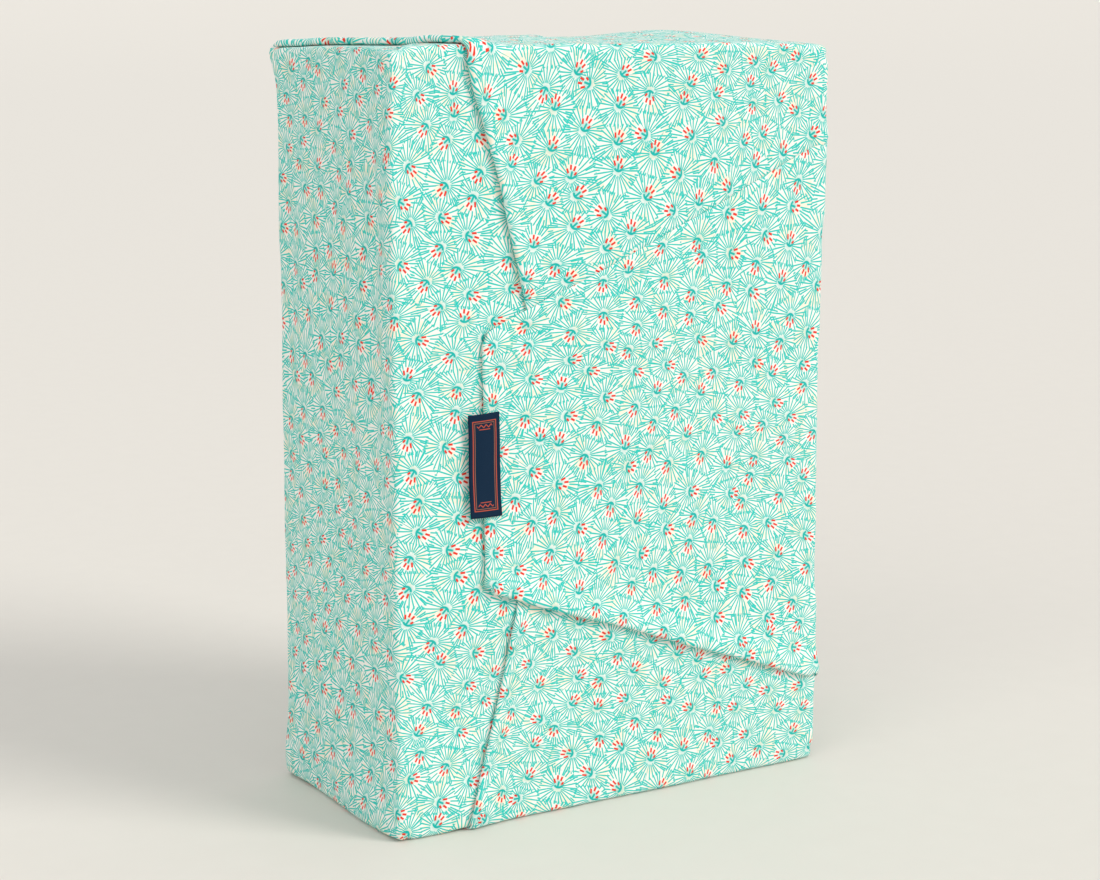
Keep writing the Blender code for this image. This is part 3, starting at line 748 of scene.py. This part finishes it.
    def make_hem(self, hems):
        """The outline of the cloth, with the ends of the creases among its points."""
        corners = self.outline()
        known = np.array(self.flat)
        owners = list(self.facets)
        for i, b in enumerate(corners):
            a = corners[i - 1]
            along = (b - a) / np.linalg.norm(b - a)
            marks = [(0.0, None), (self.side, None)]
            for index in hems:
                away = self.flat[index] - a
                if abs(away[0] * along[1] - away[1] * along[0]) < 1e-3:
                    marks.append((float(away @ along), index))
            marks.sort(key=lambda mark: mark[0])
            line = [marks[0]]
            for (before, _), (s, index) in zip(marks[:-1], marks[1:]):
                steps = max(1, int(round((s - before) / GRID)))
                line += [(before + (s - before) * step / steps, None) for step in range(1, steps)]
                line.append((s, index))
            chain = []
            for s, index in line:
                if index is None:
                    flat = a + s * along
                    gap = np.linalg.norm(known - flat, axis=1)
                    if gap.min() < 1e-4:
                        index = int(gap.argmin())
                    else:
                        inner = flat[None] * 0.9999 + 0.0001 * np.array((self.shift, 0.0))
                        owner = min(owners, key=lambda n: distance_outside(inner, self.facets[n]["shape"])[0])
                        index = self.add(flat, self.placed(owner, flat[None])[0])
                        known = np.array(self.flat)
                chain.append(index)
            self.edges += [(p, q) for p, q in zip(chain[:-1], chain[1:]) if p != q]

    def fold(self):
        """The folded cloth as places, faces and the flat place of each point."""
        hems = []
        for k, crease in enumerate(self.creases):
            self.make_strip(k, crease, hems)
        patches = self.make_knot_patches(hems)
        self.fill(patches)
        self.make_hem(hems)
        result = delaunay_2d_cdt([Vector(p) for p in self.flat], self.edges, [], 1, 1e-5)
        points, faces, sources = result[0], result[2], result[3]
        places = []
        free = []
        for i, point in enumerate(points):
            if not sources[i]:
                raise ValueError("two creases cross at " + str(point))
            places.append(self.place[sources[i][0]])
            if sources[i][0] in self.loose:
                free.append((i, *self.loose[sources[i][0]]))
        faces = [tuple(face)[::-1] for face in faces]
        places = np.array(places) + np.array((0.0, 0.0, self.thick / 2))
        return places, faces, np.array([tuple(p) for p in points]), free


def neighbours(faces):
    """Each edge of the mesh both ways, as pairs of point numbers."""
    pairs = {(min(a, b), max(a, b)) for face in faces for a, b in zip(face, face[1:] + face[:1])}
    pairs = np.array(sorted(pairs))
    return np.concatenate((pairs, pairs[:, ::-1]))


def totals(places, both):
    """The sum of the places round each point."""
    total = np.zeros_like(places)
    np.add.at(total, both[:, 0], places[both[:, 1]])
    return total


def relaxed(places, faces, knots, rounds=240, point=0.8):
    """The points of the knots settle between the cloth round them, then reach for the sharp corner."""
    free = np.array([index for index, _, _ in knots])
    wanted = np.zeros(len(places), bool)
    wanted[free] = True
    both = neighbours(faces)
    both = both[wanted[both[:, 0]]]
    count = np.bincount(both[:, 0], minlength=len(places))[free][:, None]
    moved = places.copy()
    for _ in range(rounds):
        moved[free] = totals(moved, both)[free] / count
    middles = {}
    for index, near, corner in knots:
        best = middles.get(tuple(corner), (-1.0, None))
        if near > best[0]:
            middles[tuple(corner)] = (near, moved[index].copy())
    for index, near, corner in knots:
        moved[index] += point * near * (corner - middles[tuple(corner)][1])
    return moved


def softened(places, faces, knots, rounds=2, near=6.0):
    """Takes the hard edges off the cloth close to the knots."""
    free = np.array([index for index, _, _ in knots])
    both = neighbours(faces)
    count = np.maximum(np.bincount(both[:, 0], minlength=len(places)), 1)[:, None]
    weight = np.zeros(len(places))
    for centre in places[free][::3]:
        away = np.linalg.norm(places - centre, axis=1)
        weight = np.maximum(weight, np.clip(1.0 - away / near, 0, 1))
    moved = places.copy()
    for _ in range(rounds):
        moved += 0.5 * weight[:, None] * (totals(moved, both) / count - moved)
    return moved


def spot(value, sizes):
    """A place from a number, or from a word such as left, right+20 or top-5."""
    if not isinstance(value, str):
        return float(value)
    ends = {"left": -sizes.width / MM / 2, "right": sizes.width / MM / 2,
            "front": -sizes.depth / MM / 2, "back": sizes.depth / MM / 2,
            "top": sizes.height / MM, "base": 0.0}
    for word, place in ends.items():
        if value.startswith(word):
            return place + float(value[len(word) :] or 0.0)
    raise ValueError("no such place: " + value)


def warped(points, sizes):
    moved = points.copy()
    for centre, reach, push in SWELLS.values():
        middle = np.array([spot(part, sizes) for part in centre])
        away = (points - middle) / np.array(reach, float)
        moved += np.exp(-(away**2).sum(1))[:, None] * np.array(push, float)
    floor = np.clip(points[:, 2] / SWELL_RISE, 0, 1)
    moved[:, 2] = points[:, 2] + (moved[:, 2] - points[:, 2]) * floor
    return moved


def crumpled(points):
    """A slight unevenness all over, as pressed cotton has. Layers that lie together move together."""
    noise.seed_set(CRUMPLE_SEED)
    moved = points.copy()
    for i, point in enumerate(points):
        slow = noise.noise_vector(Vector(point) / SLOW_WAVE)
        quick = noise.noise_vector(Vector(point) / QUICK_WAVE + QUICK_PLACE)
        push = SLOW_PUSH * slow + QUICK_PUSH * quick
        fade = min(1.0, max(0.0, point[2] / CRUMPLE_RISE))
        moved[i] += (push.x * CRUMPLE_SHARE, push.y * CRUMPLE_SHARE, push.z * fade * CRUMPLE_SHARE)
    return moved


def sheet_object(name, places, faces, flat):
    """A mesh object in metres, with the flat cloth as its UV map."""
    mesh = bpy.data.meshes.new(name)
    mesh.from_pydata([tuple(p * MM) for p in places], [], faces)
    mesh.update()
    layer = mesh.uv_layers.new(name="Flat cloth")
    corners = np.zeros(len(mesh.loops), int)
    mesh.loops.foreach_get("vertex_index", corners)
    layer.data.foreach_set("uv", (flat[corners] * MM).ravel())
    thing = bpy.data.objects.new(name, mesh)
    bpy.context.scene.collection.objects.link(thing)
    return thing


def only(thing):
    """Makes one object the selected and active one."""
    bpy.ops.object.select_all(action="DESELECT")
    thing.select_set(True)
    bpy.context.view_layer.objects.active = thing


def thicken(thing, amount):
    only(thing)
    coat = thing.modifiers.new("Cloth thickness", "SOLIDIFY")
    coat.thickness = amount
    coat.offset = 0.0
    coat.use_even_offset = False
    bpy.ops.object.modifier_apply(modifier=coat.name)
    bpy.ops.object.shade_smooth()


class Net:
    """Places and joins shader nodes in short lines."""

    def __init__(self, tree):
        self.tree = tree
        self.count = 0

    def node(self, kind, **settings):
        made = self.tree.nodes.new(kind)
        made.location = (220 * (self.count % 12), -200 * (self.count // 12))
        self.count += 1
        for key, value in settings.items():
            setattr(made, key, value)
        return made

    def join(self, value, socket):
        if isinstance(value, bpy.types.NodeSocket):
            self.tree.links.new(value, socket)
        elif value is not None:
            socket.default_value = value

    def math(self, operation, *values):
        made = self.node("ShaderNodeMath", operation=operation)
        for value, socket in zip(values, made.inputs):
            self.join(value, socket)
        return made.outputs[0]

    def over(self, operation, values):
        """One operation over any number of values, from the first on."""
        total = values[0]
        for value in values[1:]:
            total = self.math(operation, total, value)
        return total

    def plus(self, *values):
        return self.over("ADD", values)

    def minus(self, *values):
        return self.over("SUBTRACT", values)

    def times(self, *values):
        return self.over("MULTIPLY", values)

    def most(self, *values):
        return self.over("MAXIMUM", values)

    def size(self, value):
        return self.math("ABSOLUTE", value)

    def sloped(self, value, slope, start):
        return self.math("MULTIPLY_ADD", value, slope, start)

    def vector(self, operation, *values):
        made = self.node("ShaderNodeVectorMath", operation=operation)
        for value, socket in zip(values, made.inputs):
            self.join(value, socket)
        return made.outputs[1] if operation == "LENGTH" else made.outputs[0]

    def in_mm(self, vector):
        made = self.vector("SCALE", vector)
        made.node.inputs["Scale"].default_value = 1.0 / MM
        return made

    def noise(self, vector, scale, detail):
        """Soft noise over the flat cloth."""
        made = self.node("ShaderNodeTexNoise", noise_dimensions="2D")
        self.join(vector, made.inputs["Vector"])
        made.inputs["Scale"].default_value = scale
        made.inputs["Detail"].default_value = detail
        return made.outputs

    def ramp(self, value, low, high):
        """0 at low and 1 at high, smooth between; low may be the larger."""
        made = self.node("ShaderNodeMapRange", interpolation_type="SMOOTHSTEP")
        self.join(value, made.inputs[0])
        self.join(low, made.inputs[1])
        self.join(high, made.inputs[2])
        return made.outputs[0]

    def mix(self, factor, first, second):
        made = self.node("ShaderNodeMix", data_type="RGBA")
        self.join(factor, made.inputs[0])
        self.join(first, made.inputs[6])
        self.join(second, made.inputs[7])
        return made.outputs[2]

    def split(self, vector):
        made = self.node("ShaderNodeSeparateXYZ")
        self.join(vector, made.inputs[0])
        return made.outputs

    def merge(self, x, y, z=0.0):
        made = self.node("ShaderNodeCombineXYZ")
        for value, socket in zip((x, y, z), made.inputs):
            self.join(value, socket)
        return made.outputs[0]

    def chance(self, vector):
        """Three random numbers for one place."""
        made = self.node("ShaderNodeTexWhiteNoise", noise_dimensions="3D")
        self.join(vector, made.inputs["Vector"])
        return self.split(made.outputs["Color"])


def new_group(name, inputs, outputs):
    tree = bpy.data.node_groups.new(name, "ShaderNodeTree")
    for title, kind, value in inputs:
        socket = tree.interface.new_socket(title, in_out="INPUT", socket_type=kind)
        if value is not None:
            socket.default_value = value
    for title in outputs:
        tree.interface.new_socket(title, in_out="OUTPUT", socket_type="NodeSocketFloat")
    net = Net(tree)
    return tree, net, net.node("NodeGroupInput").outputs, net.node("NodeGroupOutput").inputs


def spray_group():
    """One sparse layer of needle sprays: a spray in each cell, turned and shifted by chance."""
    tree, net, given, wanted = new_group("Needle sprays", (
        ("Place", "NodeSocketVector", None),
        ("Cell", "NodeSocketFloat", 33.0),
        ("Across", "NodeSocketFloat", 0.0),
        ("Up", "NodeSocketFloat", 0.0),
        ("Seed", "NodeSocketFloat", 1.0),
        ("Needles", "NodeSocketFloat", 24.0),
    ), ("Needle", "Hook", "Dash", "Glow", "Away"))
    seed = given["Seed"]
    place = net.split(given["Place"])
    row_at = net.plus(net.math("DIVIDE", place[1], given["Cell"]), given["Up"])
    row = net.math("FLOOR", row_at)
    slip = net.chance(net.merge(row, seed, 3.5))[0]
    slip = net.times(net.minus(slip, 0.5), LATTICE_SLIP)
    column_at = net.plus(net.math("DIVIDE", place[0], given["Cell"]), given["Across"], slip)
    column = net.math("FLOOR", column_at)
    luck = net.chance(net.merge(column, row, seed))
    more = net.chance(net.merge(row, column, net.plus(seed, 40.0)))

    def centred(at, cell, chance):
        offset = net.times(net.minus(chance, 0.5), SPRAY_SHIFT)
        return net.times(net.minus(at, net.plus(cell, 0.5, offset)), given["Cell"])

    x = centred(column_at, column, luck[0])
    y = centred(row_at, row, luck[1])
    way = SPRAY_WAY + LATTICE_TURN
    for share, turn in SPRAY_TURNS:
        way = net.plus(way, net.times(net.math("GREATER_THAN", luck[2], share), turn))
    way = net.plus(way, net.times(net.minus(more[0], 0.5), SPRAY_SWAY))
    c, s = net.math("COSINE", way), net.math("SINE", way)
    ahead = net.plus(net.times(x, c), net.times(y, s))
    aside = net.minus(net.times(y, c), net.times(x, s))

    def polar(behind):
        """How far the place is from a point behind the middle of the spray, and in which direction."""
        shifted = net.plus(ahead, behind)
        return net.vector("LENGTH", net.merge(shifted, aside)), net.math("ARCTAN2", aside, shifted)

    far, turn = polar(ROOT_BEHIND)
    slot = net.times(turn, net.math("DIVIDE", given["Needles"], 2 * math.pi))
    wide = net.math("DIVIDE", net.times(far, 2 * math.pi), given["Needles"])
    taper = net.math("MINIMUM", net.sloped(far, *NEEDLE_TAPER), 1.0)
    front = net.sloped(net.ramp(net.size(turn), *FRONT_ANGLES), *FRONT_START)

    def needles(shift, nearest, varies):
        """One needle in each slot: it begins at the nearest distance, or up to varies further out."""
        shifted = net.plus(slot, shift)
        number = net.math("FLOOR", shifted)
        each = net.chance(net.merge(number, net.times(luck[0], 91.0), net.plus(seed, shift)))
        off = net.minus(net.minus(shifted, number), 0.5)
        off = net.plus(off, net.times(net.minus(each[0], 0.5), NEEDLE_SWAY))
        gap = net.times(net.size(off), wide)
        line = net.ramp(net.math("DIVIDE", gap, taper), *NEEDLE_EDGE)
        long = net.sloped(each[1], *NEEDLE_LONG)
        line = net.times(line, net.ramp(net.minus(far, long), *NEEDLE_END))
        begins = net.most(front, net.sloped(each[2], varies, nearest))
        return net.times(line, net.ramp(net.minus(far, begins), *NEEDLE_START))

    net.join(net.most(*(needles(*numbers) for numbers in NEEDLE_SETS)), wanted["Needle"])
    net.join(far, wanted["Away"])
    from_glow = net.vector("LENGTH", net.merge(net.minus(ahead, GLOW_AHEAD), aside))
    net.join(net.ramp(from_glow, *GLOW_EDGE), wanted["Glow"])
    around, angle_round = polar(-HOOK_AHEAD)
    hook = net.ramp(net.size(net.minus(around, HOOK_RADIUS)), *HOOK_EDGE)
    hook = net.times(hook, net.ramp(net.size(net.plus(angle_round, HOOK_LEAN)), *HOOK_ENDS))
    stem_ends = net.times(*(net.ramp(ahead, *end) for end in STEM_ENDS))
    stem = net.times(net.ramp(net.size(aside), *STEM_EDGE), stem_ends)
    net.join(net.most(hook, stem), wanted["Hook"])
    fan_far, fan_turn = polar(DASH_BEHIND)
    spread = net.math("DIVIDE", fan_turn, DASH_SLOT)
    number = net.math("FLOOR", spread)
    chance = net.chance(net.merge(number, luck[1], 7.0))
    off = net.size(net.minus(net.minus(spread, number), 0.5))
    dash = net.ramp(net.times(off, net.times(fan_far, DASH_SLOT)), *DASH_EDGE)
    begins = net.sloped(net.size(net.plus(number, DASH_MIDDLE)), *DASH_START)
    begins = net.plus(begins, net.times(chance[0], DASH_START_VARIES))
    from_start = net.minus(fan_far, begins)
    ends = net.sloped(net.math("COMPARE", number, 1.0, 0.1), *DASH_LONG)
    dash = net.times(dash, net.ramp(from_start, 0.0, 0.35))
    dash = net.times(dash, net.ramp(net.minus(from_start, ends), 0.2, -0.2))
    dash = net.times(dash, net.math("LESS_THAN", net.size(fan_turn), 2 * DASH_SLOT))
    net.join(dash, wanted["Dash"])
    return tree


def weave_group():
    """Plain weave: threads over and under each other, as a height."""
    tree, net, given, wanted = new_group("Plain weave", (
        ("Place", "NodeSocketVector", None),
        ("Thread", "NodeSocketFloat", 0.32),
    ), ("Height", "Slub"))
    place = net.split(given["Place"])
    u = net.times(net.math("DIVIDE", place[0], given["Thread"]), math.pi)
    v = net.times(net.math("DIVIDE", place[1], given["Thread"]), math.pi)
    net.join(net.times(net.math("SINE", u), net.math("SINE", v)), wanted["Height"])
    stretched = net.vector("MULTIPLY", given["Place"], (0.12, 1.6, 1.0))
    net.join(net.noise(stretched, 1.0, 2.0)["Fac"], wanted["Slub"])
    return tree


def new_material(name):
    look = bpy.data.materials.new(name)
    look.use_nodes = True
    net = Net(look.node_tree)
    shader = look.node_tree.nodes["Principled BSDF"]
    shader.location = (3000, 300)
    look.node_tree.nodes["Material Output"].location = (3300, 300)
    return look, net, shader


def colour(values):
    return (*values, 1.0)


def raise_threads(net, shader, height, strength, distance):
    bump = net.node("ShaderNodeBump")
    bump.inputs["Strength"].default_value = strength
    bump.inputs["Distance"].default_value = distance
    net.join(height, bump.inputs["Height"])
    net.join(bump.outputs[0], shader.inputs["Normal"])


def printed_cotton(colours):
    look, net, shader = new_material("printed cotton")
    place = net.in_mm(net.node("ShaderNodeUVMap", uv_map="Flat cloth").outputs[0])
    # The lattice of the print wanders a little, so that the sprays don't stand in rows
    shove = net.vector("SUBTRACT", net.noise(place, 1.0 / WANDER_WAVE, 0.0)["Color"], (0.5, 0.5, 0.5))
    shove = net.vector("MULTIPLY", shove, (LATTICE_WANDER, LATTICE_WANDER, 0.0))
    turned = net.node("ShaderNodeVectorRotate", rotation_type="Z_AXIS")
    net.join(net.vector("ADD", place, shove), turned.inputs["Vector"])
    turned.inputs["Angle"].default_value = LATTICE_TURN
    sprays = spray_group()
    placed = []
    for across, up, seed in LAYERS:
        layer = net.node("ShaderNodeGroup", node_tree=sprays)
        placed.append(layer.outputs)
        net.join(turned.outputs[0], layer.inputs["Place"])
        given = {"Cell": colours.cell / MM, "Across": across, "Up": up, "Seed": seed,
                 "Needles": float(colours.needles)}
        for name, value in given.items():
            layer.inputs[name].default_value = value
    hook, dash, glow = (net.most(*(layer[name] for layer in placed)) for name in ("Hook", "Dash", "Glow"))
    # The nearest spray keeps its needles, and those of the others stop a little way inside it
    nearest = net.over("MINIMUM", [layer["Away"] for layer in placed])
    needles = []
    for layer in placed:
        beyond = net.minus(layer["Away"], nearest)
        needles.append(net.times(layer["Needle"], net.ramp(beyond, *OVERLAP)))
    warm = net.ramp(net.noise(place, 1.0 / PATCH_WAVE, 3.0)["Fac"], *PATCH_EDGE)
    tone = net.mix(net.times(warm, PATCH_STRENGTH), colour(colours.ground), colour(colours.cream))
    tone = net.mix(net.times(glow, GLOW_STRENGTH), tone, colour(colours.needle))
    tone = net.mix(net.most(*needles), tone, colour(colours.needle))
    tone = net.mix(hook, tone, colour(colours.hook))
    tone = net.mix(dash, tone, colour(colours.dash))
    weave = net.node("ShaderNodeGroup", node_tree=weave_group())
    net.join(place, weave.inputs["Place"])
    height, slub = weave.outputs["Height"], weave.outputs["Slub"]
    shade = net.sloped(net.minus(slub, 0.5), 0.10, 1.0)
    net.join(net.vector("MULTIPLY", tone, net.merge(shade, shade, shade)), shader.inputs["Base Color"])
    net.join(net.sloped(height, 0.04, 0.80), shader.inputs["Roughness"])
    raise_threads(net, shader, net.plus(height, net.times(slub, 1.5)), 0.35, 0.00008)
    shader.inputs["Sheen Weight"].default_value = 0.05
    shader.inputs["Sheen Roughness"].default_value = 0.5
    shader.inputs["Specular IOR Level"].default_value = 0.25
    return look


def woven_label(sizes, colours):
    """The label's own weave, with a frame of two lines and a plain row of peaks at each end, in mm."""
    look, net, shader = new_material("woven label")
    place = net.in_mm(net.node("ShaderNodeUVMap", uv_map="Flat cloth").outputs[0])
    x, y = net.split(place)[:2]
    across, along = net.size(x), net.size(y)
    half_wide = sizes.label_wide / MM / 2
    half_long = sizes.label_long / MM / 2

    def ring(inset_side, inset_end, width):
        """A rectangular line."""
        dx = net.minus(across, half_wide - inset_side)
        dy = net.minus(along, half_long - inset_end)
        away = net.size(net.most(dx, dy))
        return net.ramp(away, width / 2 + LINE_EDGE, width / 2 - LINE_EDGE)

    outer = ring(*OUTER_LINE)
    inner = ring(*INNER_LINE)
    peak = net.math("PINGPONG", net.plus(x, 20.0), PEAK_HEIGHT)
    from_end = net.minus(half_long - PEAKS_FROM_END, along)
    zigzag = net.ramp(net.size(net.minus(from_end, peak)), 0.42, 0.18)
    zigzag = net.times(zigzag, net.ramp(across, 4.1, 3.8))
    base = net.times(net.ramp(net.size(net.minus(from_end, 2.2)), 0.3, 0.1), net.ramp(across, 3.0, 2.7))
    ornament = net.most(zigzag, base)
    weave = net.node("ShaderNodeGroup", node_tree=bpy.data.node_groups["Plain weave"])
    net.join(place, weave.inputs["Place"])
    weave.inputs["Thread"].default_value = 0.22
    height = weave.outputs["Height"]
    lighter = colour([c * 1.8 + 0.0008 for c in colours.label])
    tone = net.mix(net.sloped(height, 0.25, 0.25), colour(colours.label), lighter)
    tone = net.mix(outer, tone, colour(colours.frame_red))
    tone = net.mix(net.times(inner, 0.85), tone, colour(colours.frame_tan))
    tone = net.mix(net.times(ornament, 0.9), tone, colour(colours.frame_red))
    net.join(tone, shader.inputs["Base Color"])
    net.join(net.sloped(height, 0.05, 0.62), shader.inputs["Roughness"])
    threads = net.most(outer, inner, ornament)
    raise_threads(net, shader, net.plus(net.times(height, 0.5), net.times(threads, 1.2)), 0.6, 0.00012)
    shader.inputs["Specular IOR Level"].default_value = 0.12
    return look


class FUROSHIKI_OT_cloth(bpy.types.Operator):
    """Fold the printed cloth round the box shape"""

    bl_idname = "furoshiki.cloth"
    bl_label = "Fold the cloth"

    def execute(self, context):
        sizes, colours = context.scene.wrap_sizes, context.scene.wrap_colours
        folded = FoldedCloth(sizes)
        places, faces, flat, free = folded.fold()
        places = relaxed(places, faces, free)
        places = softened(places, faces, free)
        places = crumpled(warped(places, sizes))
        cloth = sheet_object("printed_wrap", places, faces, flat)
        thicken(cloth, sizes.thickness)
        cloth.data.materials.append(printed_cotton(colours))
        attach(cloth, "root")
        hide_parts("wrap_cloth")
        return {"FINISHED"}


class FUROSHIKI_OT_label(bpy.types.Operator):
    """Lay the woven label on the edge of the last flap"""

    bl_idname = "furoshiki.label"
    bl_label = "Sew on the label"

    def execute(self, context):
        sizes, colours = context.scene.wrap_sizes, context.scene.wrap_colours
        bpy.ops.object.select_all(action="DESELECT")
        bpy.ops.mesh.primitive_grid_add(x_subdivisions=22, y_subdivisions=64, size=1.0)
        label = context.object
        label.name = "label_strip"
        label.data.name = "label_strip"
        wide, long = sizes.label_wide / MM, sizes.label_long / MM
        flat = np.array([(v.co.x * wide, v.co.y * long) for v in label.data.vertices])
        c, s = math.cos(sizes.label_lean), math.sin(sizes.label_lean)
        x = -sizes.width / MM / 2 + sizes.label_left / MM + flat[:, 0] * c - flat[:, 1] * s
        z = sizes.height / MM - sizes.label_down / MM + flat[:, 1] * c + flat[:, 0] * s * LABEL_END_LEAN
        folded = FoldedCloth(sizes)
        w, d, h = folded.w, folded.d, folded.h
        on_flap = np.column_stack((np.minimum(w + d - x, folded.tip - 1.0), z - h / 2))
        flap = folded.placed("R front", on_flap)[:, 1]
        edge = w + d - folded.tip
        droop = np.clip((edge - x - 1.0) / LABEL_DROOP_RUN, 0, 1) ** 1.5
        curl = LABEL_CURL * (flat[:, 1] / (long / 2)) ** 2
        base = np.column_stack((x, flap.min() + droop - curl, z))
        places = crumpled(warped(base + np.array((0.0, 0.0, folded.thick / 2)), sizes))
        places[:, 1] -= (sizes.thickness + sizes.label_thickness) / MM / 2 + LABEL_AIR
        layer = label.data.uv_layers.active or label.data.uv_layers.new(name="Flat cloth")
        layer.name = "Flat cloth"
        for loop in label.data.loops:
            layer.data[loop.index].uv = flat[loop.vertex_index] * MM
        for vertex, place in zip(label.data.vertices, places):
            vertex.co = place * MM
        # Seen from the front the strip's faces must look outwards
        if label.data.polygons[0].normal.y > 0:
            label.data.flip_normals()
        thicken(label, sizes.label_thickness)
        label.data.materials.append(woven_label(sizes, colours))
        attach(label, "root")
        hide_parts("woven_label")
        return {"FINISHED"}


class FUROSHIKI_OT_stage(bpy.types.Operator):
    """Add the pale floor, the soft studio light and the camera"""

    bl_idname = "furoshiki.stage"
    bl_label = "Set the stage"

    def execute(self, context):
        floor = self.add_floor(context)
        look, net, shader = new_material("pale floor")
        grain = net.node("ShaderNodeTexNoise")
        grain.inputs["Scale"].default_value = 60.0
        net.join(net.node("ShaderNodeTexCoord").outputs["Object"], grain.inputs["Vector"])
        net.join(net.mix(grain.outputs["Fac"], *FLOOR_TONES), shader.inputs["Base Color"])
        shader.inputs["Roughness"].default_value = 0.6
        floor.data.materials.append(look)
        self.add_camera(context)
        for name, (way, spread, strength, tone) in LAMPS.items():
            bpy.ops.object.light_add(type="SUN", location=way)
            lamp = context.object
            lamp.name = name
            lamp.data.angle = math.radians(spread)
            lamp.data.energy = strength
            lamp.data.color = tone
            lamp.rotation_euler = (-Vector(way)).to_track_quat("-Z", "Y").to_euler()
        world = context.scene.world or bpy.data.worlds.new("Studio")
        context.scene.world = world
        world.use_nodes = True
        sky = world.node_tree.nodes["Background"]
        sky.inputs["Color"].default_value = SKY_COLOUR
        sky.inputs["Strength"].default_value = SKY_STRENGTH
        # Plain display of colours, so that the print keeps the colours it is given
        context.scene.view_settings.view_transform = "Standard"
        return {"FINISHED"}

    def add_floor(self, context):
        """A wide round floor that rises a little far behind, on every side."""
        bpy.ops.object.select_all(action="DESELECT")
        bpy.ops.mesh.primitive_circle_add(vertices=96, radius=FLOOR_RINGS[0][0], fill_type="NGON")
        floor = context.object
        floor.name = "floor"
        bpy.ops.object.mode_set(mode="EDIT")
        bpy.ops.mesh.select_mode(type="EDGE")
        bpy.ops.mesh.select_all(action="SELECT")
        bpy.ops.mesh.region_to_loop()
        for (radius, height), (wider, higher) in zip(FLOOR_RINGS[:-1], FLOOR_RINGS[1:]):
            bpy.ops.mesh.extrude_edges_move(TRANSFORM_OT_translate={"value": (0.0, 0.0, higher - height)})
            bpy.ops.transform.resize(value=(wider / radius, wider / radius, 1.0))
        bpy.ops.object.mode_set(mode="OBJECT")
        bpy.ops.object.shade_smooth()
        return floor

    def add_camera(self, context):
        bpy.ops.object.camera_add()
        camera = context.object
        camera.name = "camera"
        c, s = math.cos(CAMERA_AZIMUTH), math.sin(CAMERA_AZIMUTH)
        level = math.cos(CAMERA_ELEVATION)
        back = Vector((s * level, -c * level, math.sin(CAMERA_ELEVATION)))
        right = Vector((c, s, 0.0))
        up = back.cross(right)
        place = right * LOOK_RIGHT + Vector((0.0, 0.0, LOOK_UP)) + back * CAMERA_DISTANCE
        turn = Matrix((right, up, back)).transposed()
        camera.matrix_world = Matrix.Translation(place) @ turn.to_4x4()
        camera.data.lens = CAMERA_LENS
        camera.data.sensor_width = 36.0
        context.scene.camera = camera


class FUROSHIKI_PT_panel(bpy.types.Panel):
    """The steps and the sizes of the wrap"""

    bl_label = "Furoshiki"
    bl_idname = "FUROSHIKI_PT_panel"
    bl_space_type = "VIEW_3D"
    bl_region_type = "UI"
    bl_category = "Furoshiki"

    def draw(self, context):
        for step in STEPS:
            self.layout.operator(step.bl_idname)
        for group in (context.scene.wrap_sizes, context.scene.wrap_colours):
            box = self.layout.box()
            for name in group.__annotations__:
                box.prop(group, name)


STEPS = (FUROSHIKI_OT_cloth, FUROSHIKI_OT_label, FUROSHIKI_OT_stage)
CLASSES = (WrapSizes, WrapColours, *STEPS, FUROSHIKI_PT_panel)


def register():
    for kind in CLASSES:
        bpy.utils.register_class(kind)
    bpy.types.Scene.wrap_sizes = PointerProperty(type=WrapSizes)
    bpy.types.Scene.wrap_colours = PointerProperty(type=WrapColours)


def unregister():
    del bpy.types.Scene.wrap_colours
    del bpy.types.Scene.wrap_sizes
    for kind in reversed(CLASSES):
        bpy.utils.unregister_class(kind)


def main():
    register()
    bpy.ops.furoshiki.cloth()
    bpy.ops.furoshiki.label()
    bpy.ops.furoshiki.stage()


if __name__ == "__main__":
    main()
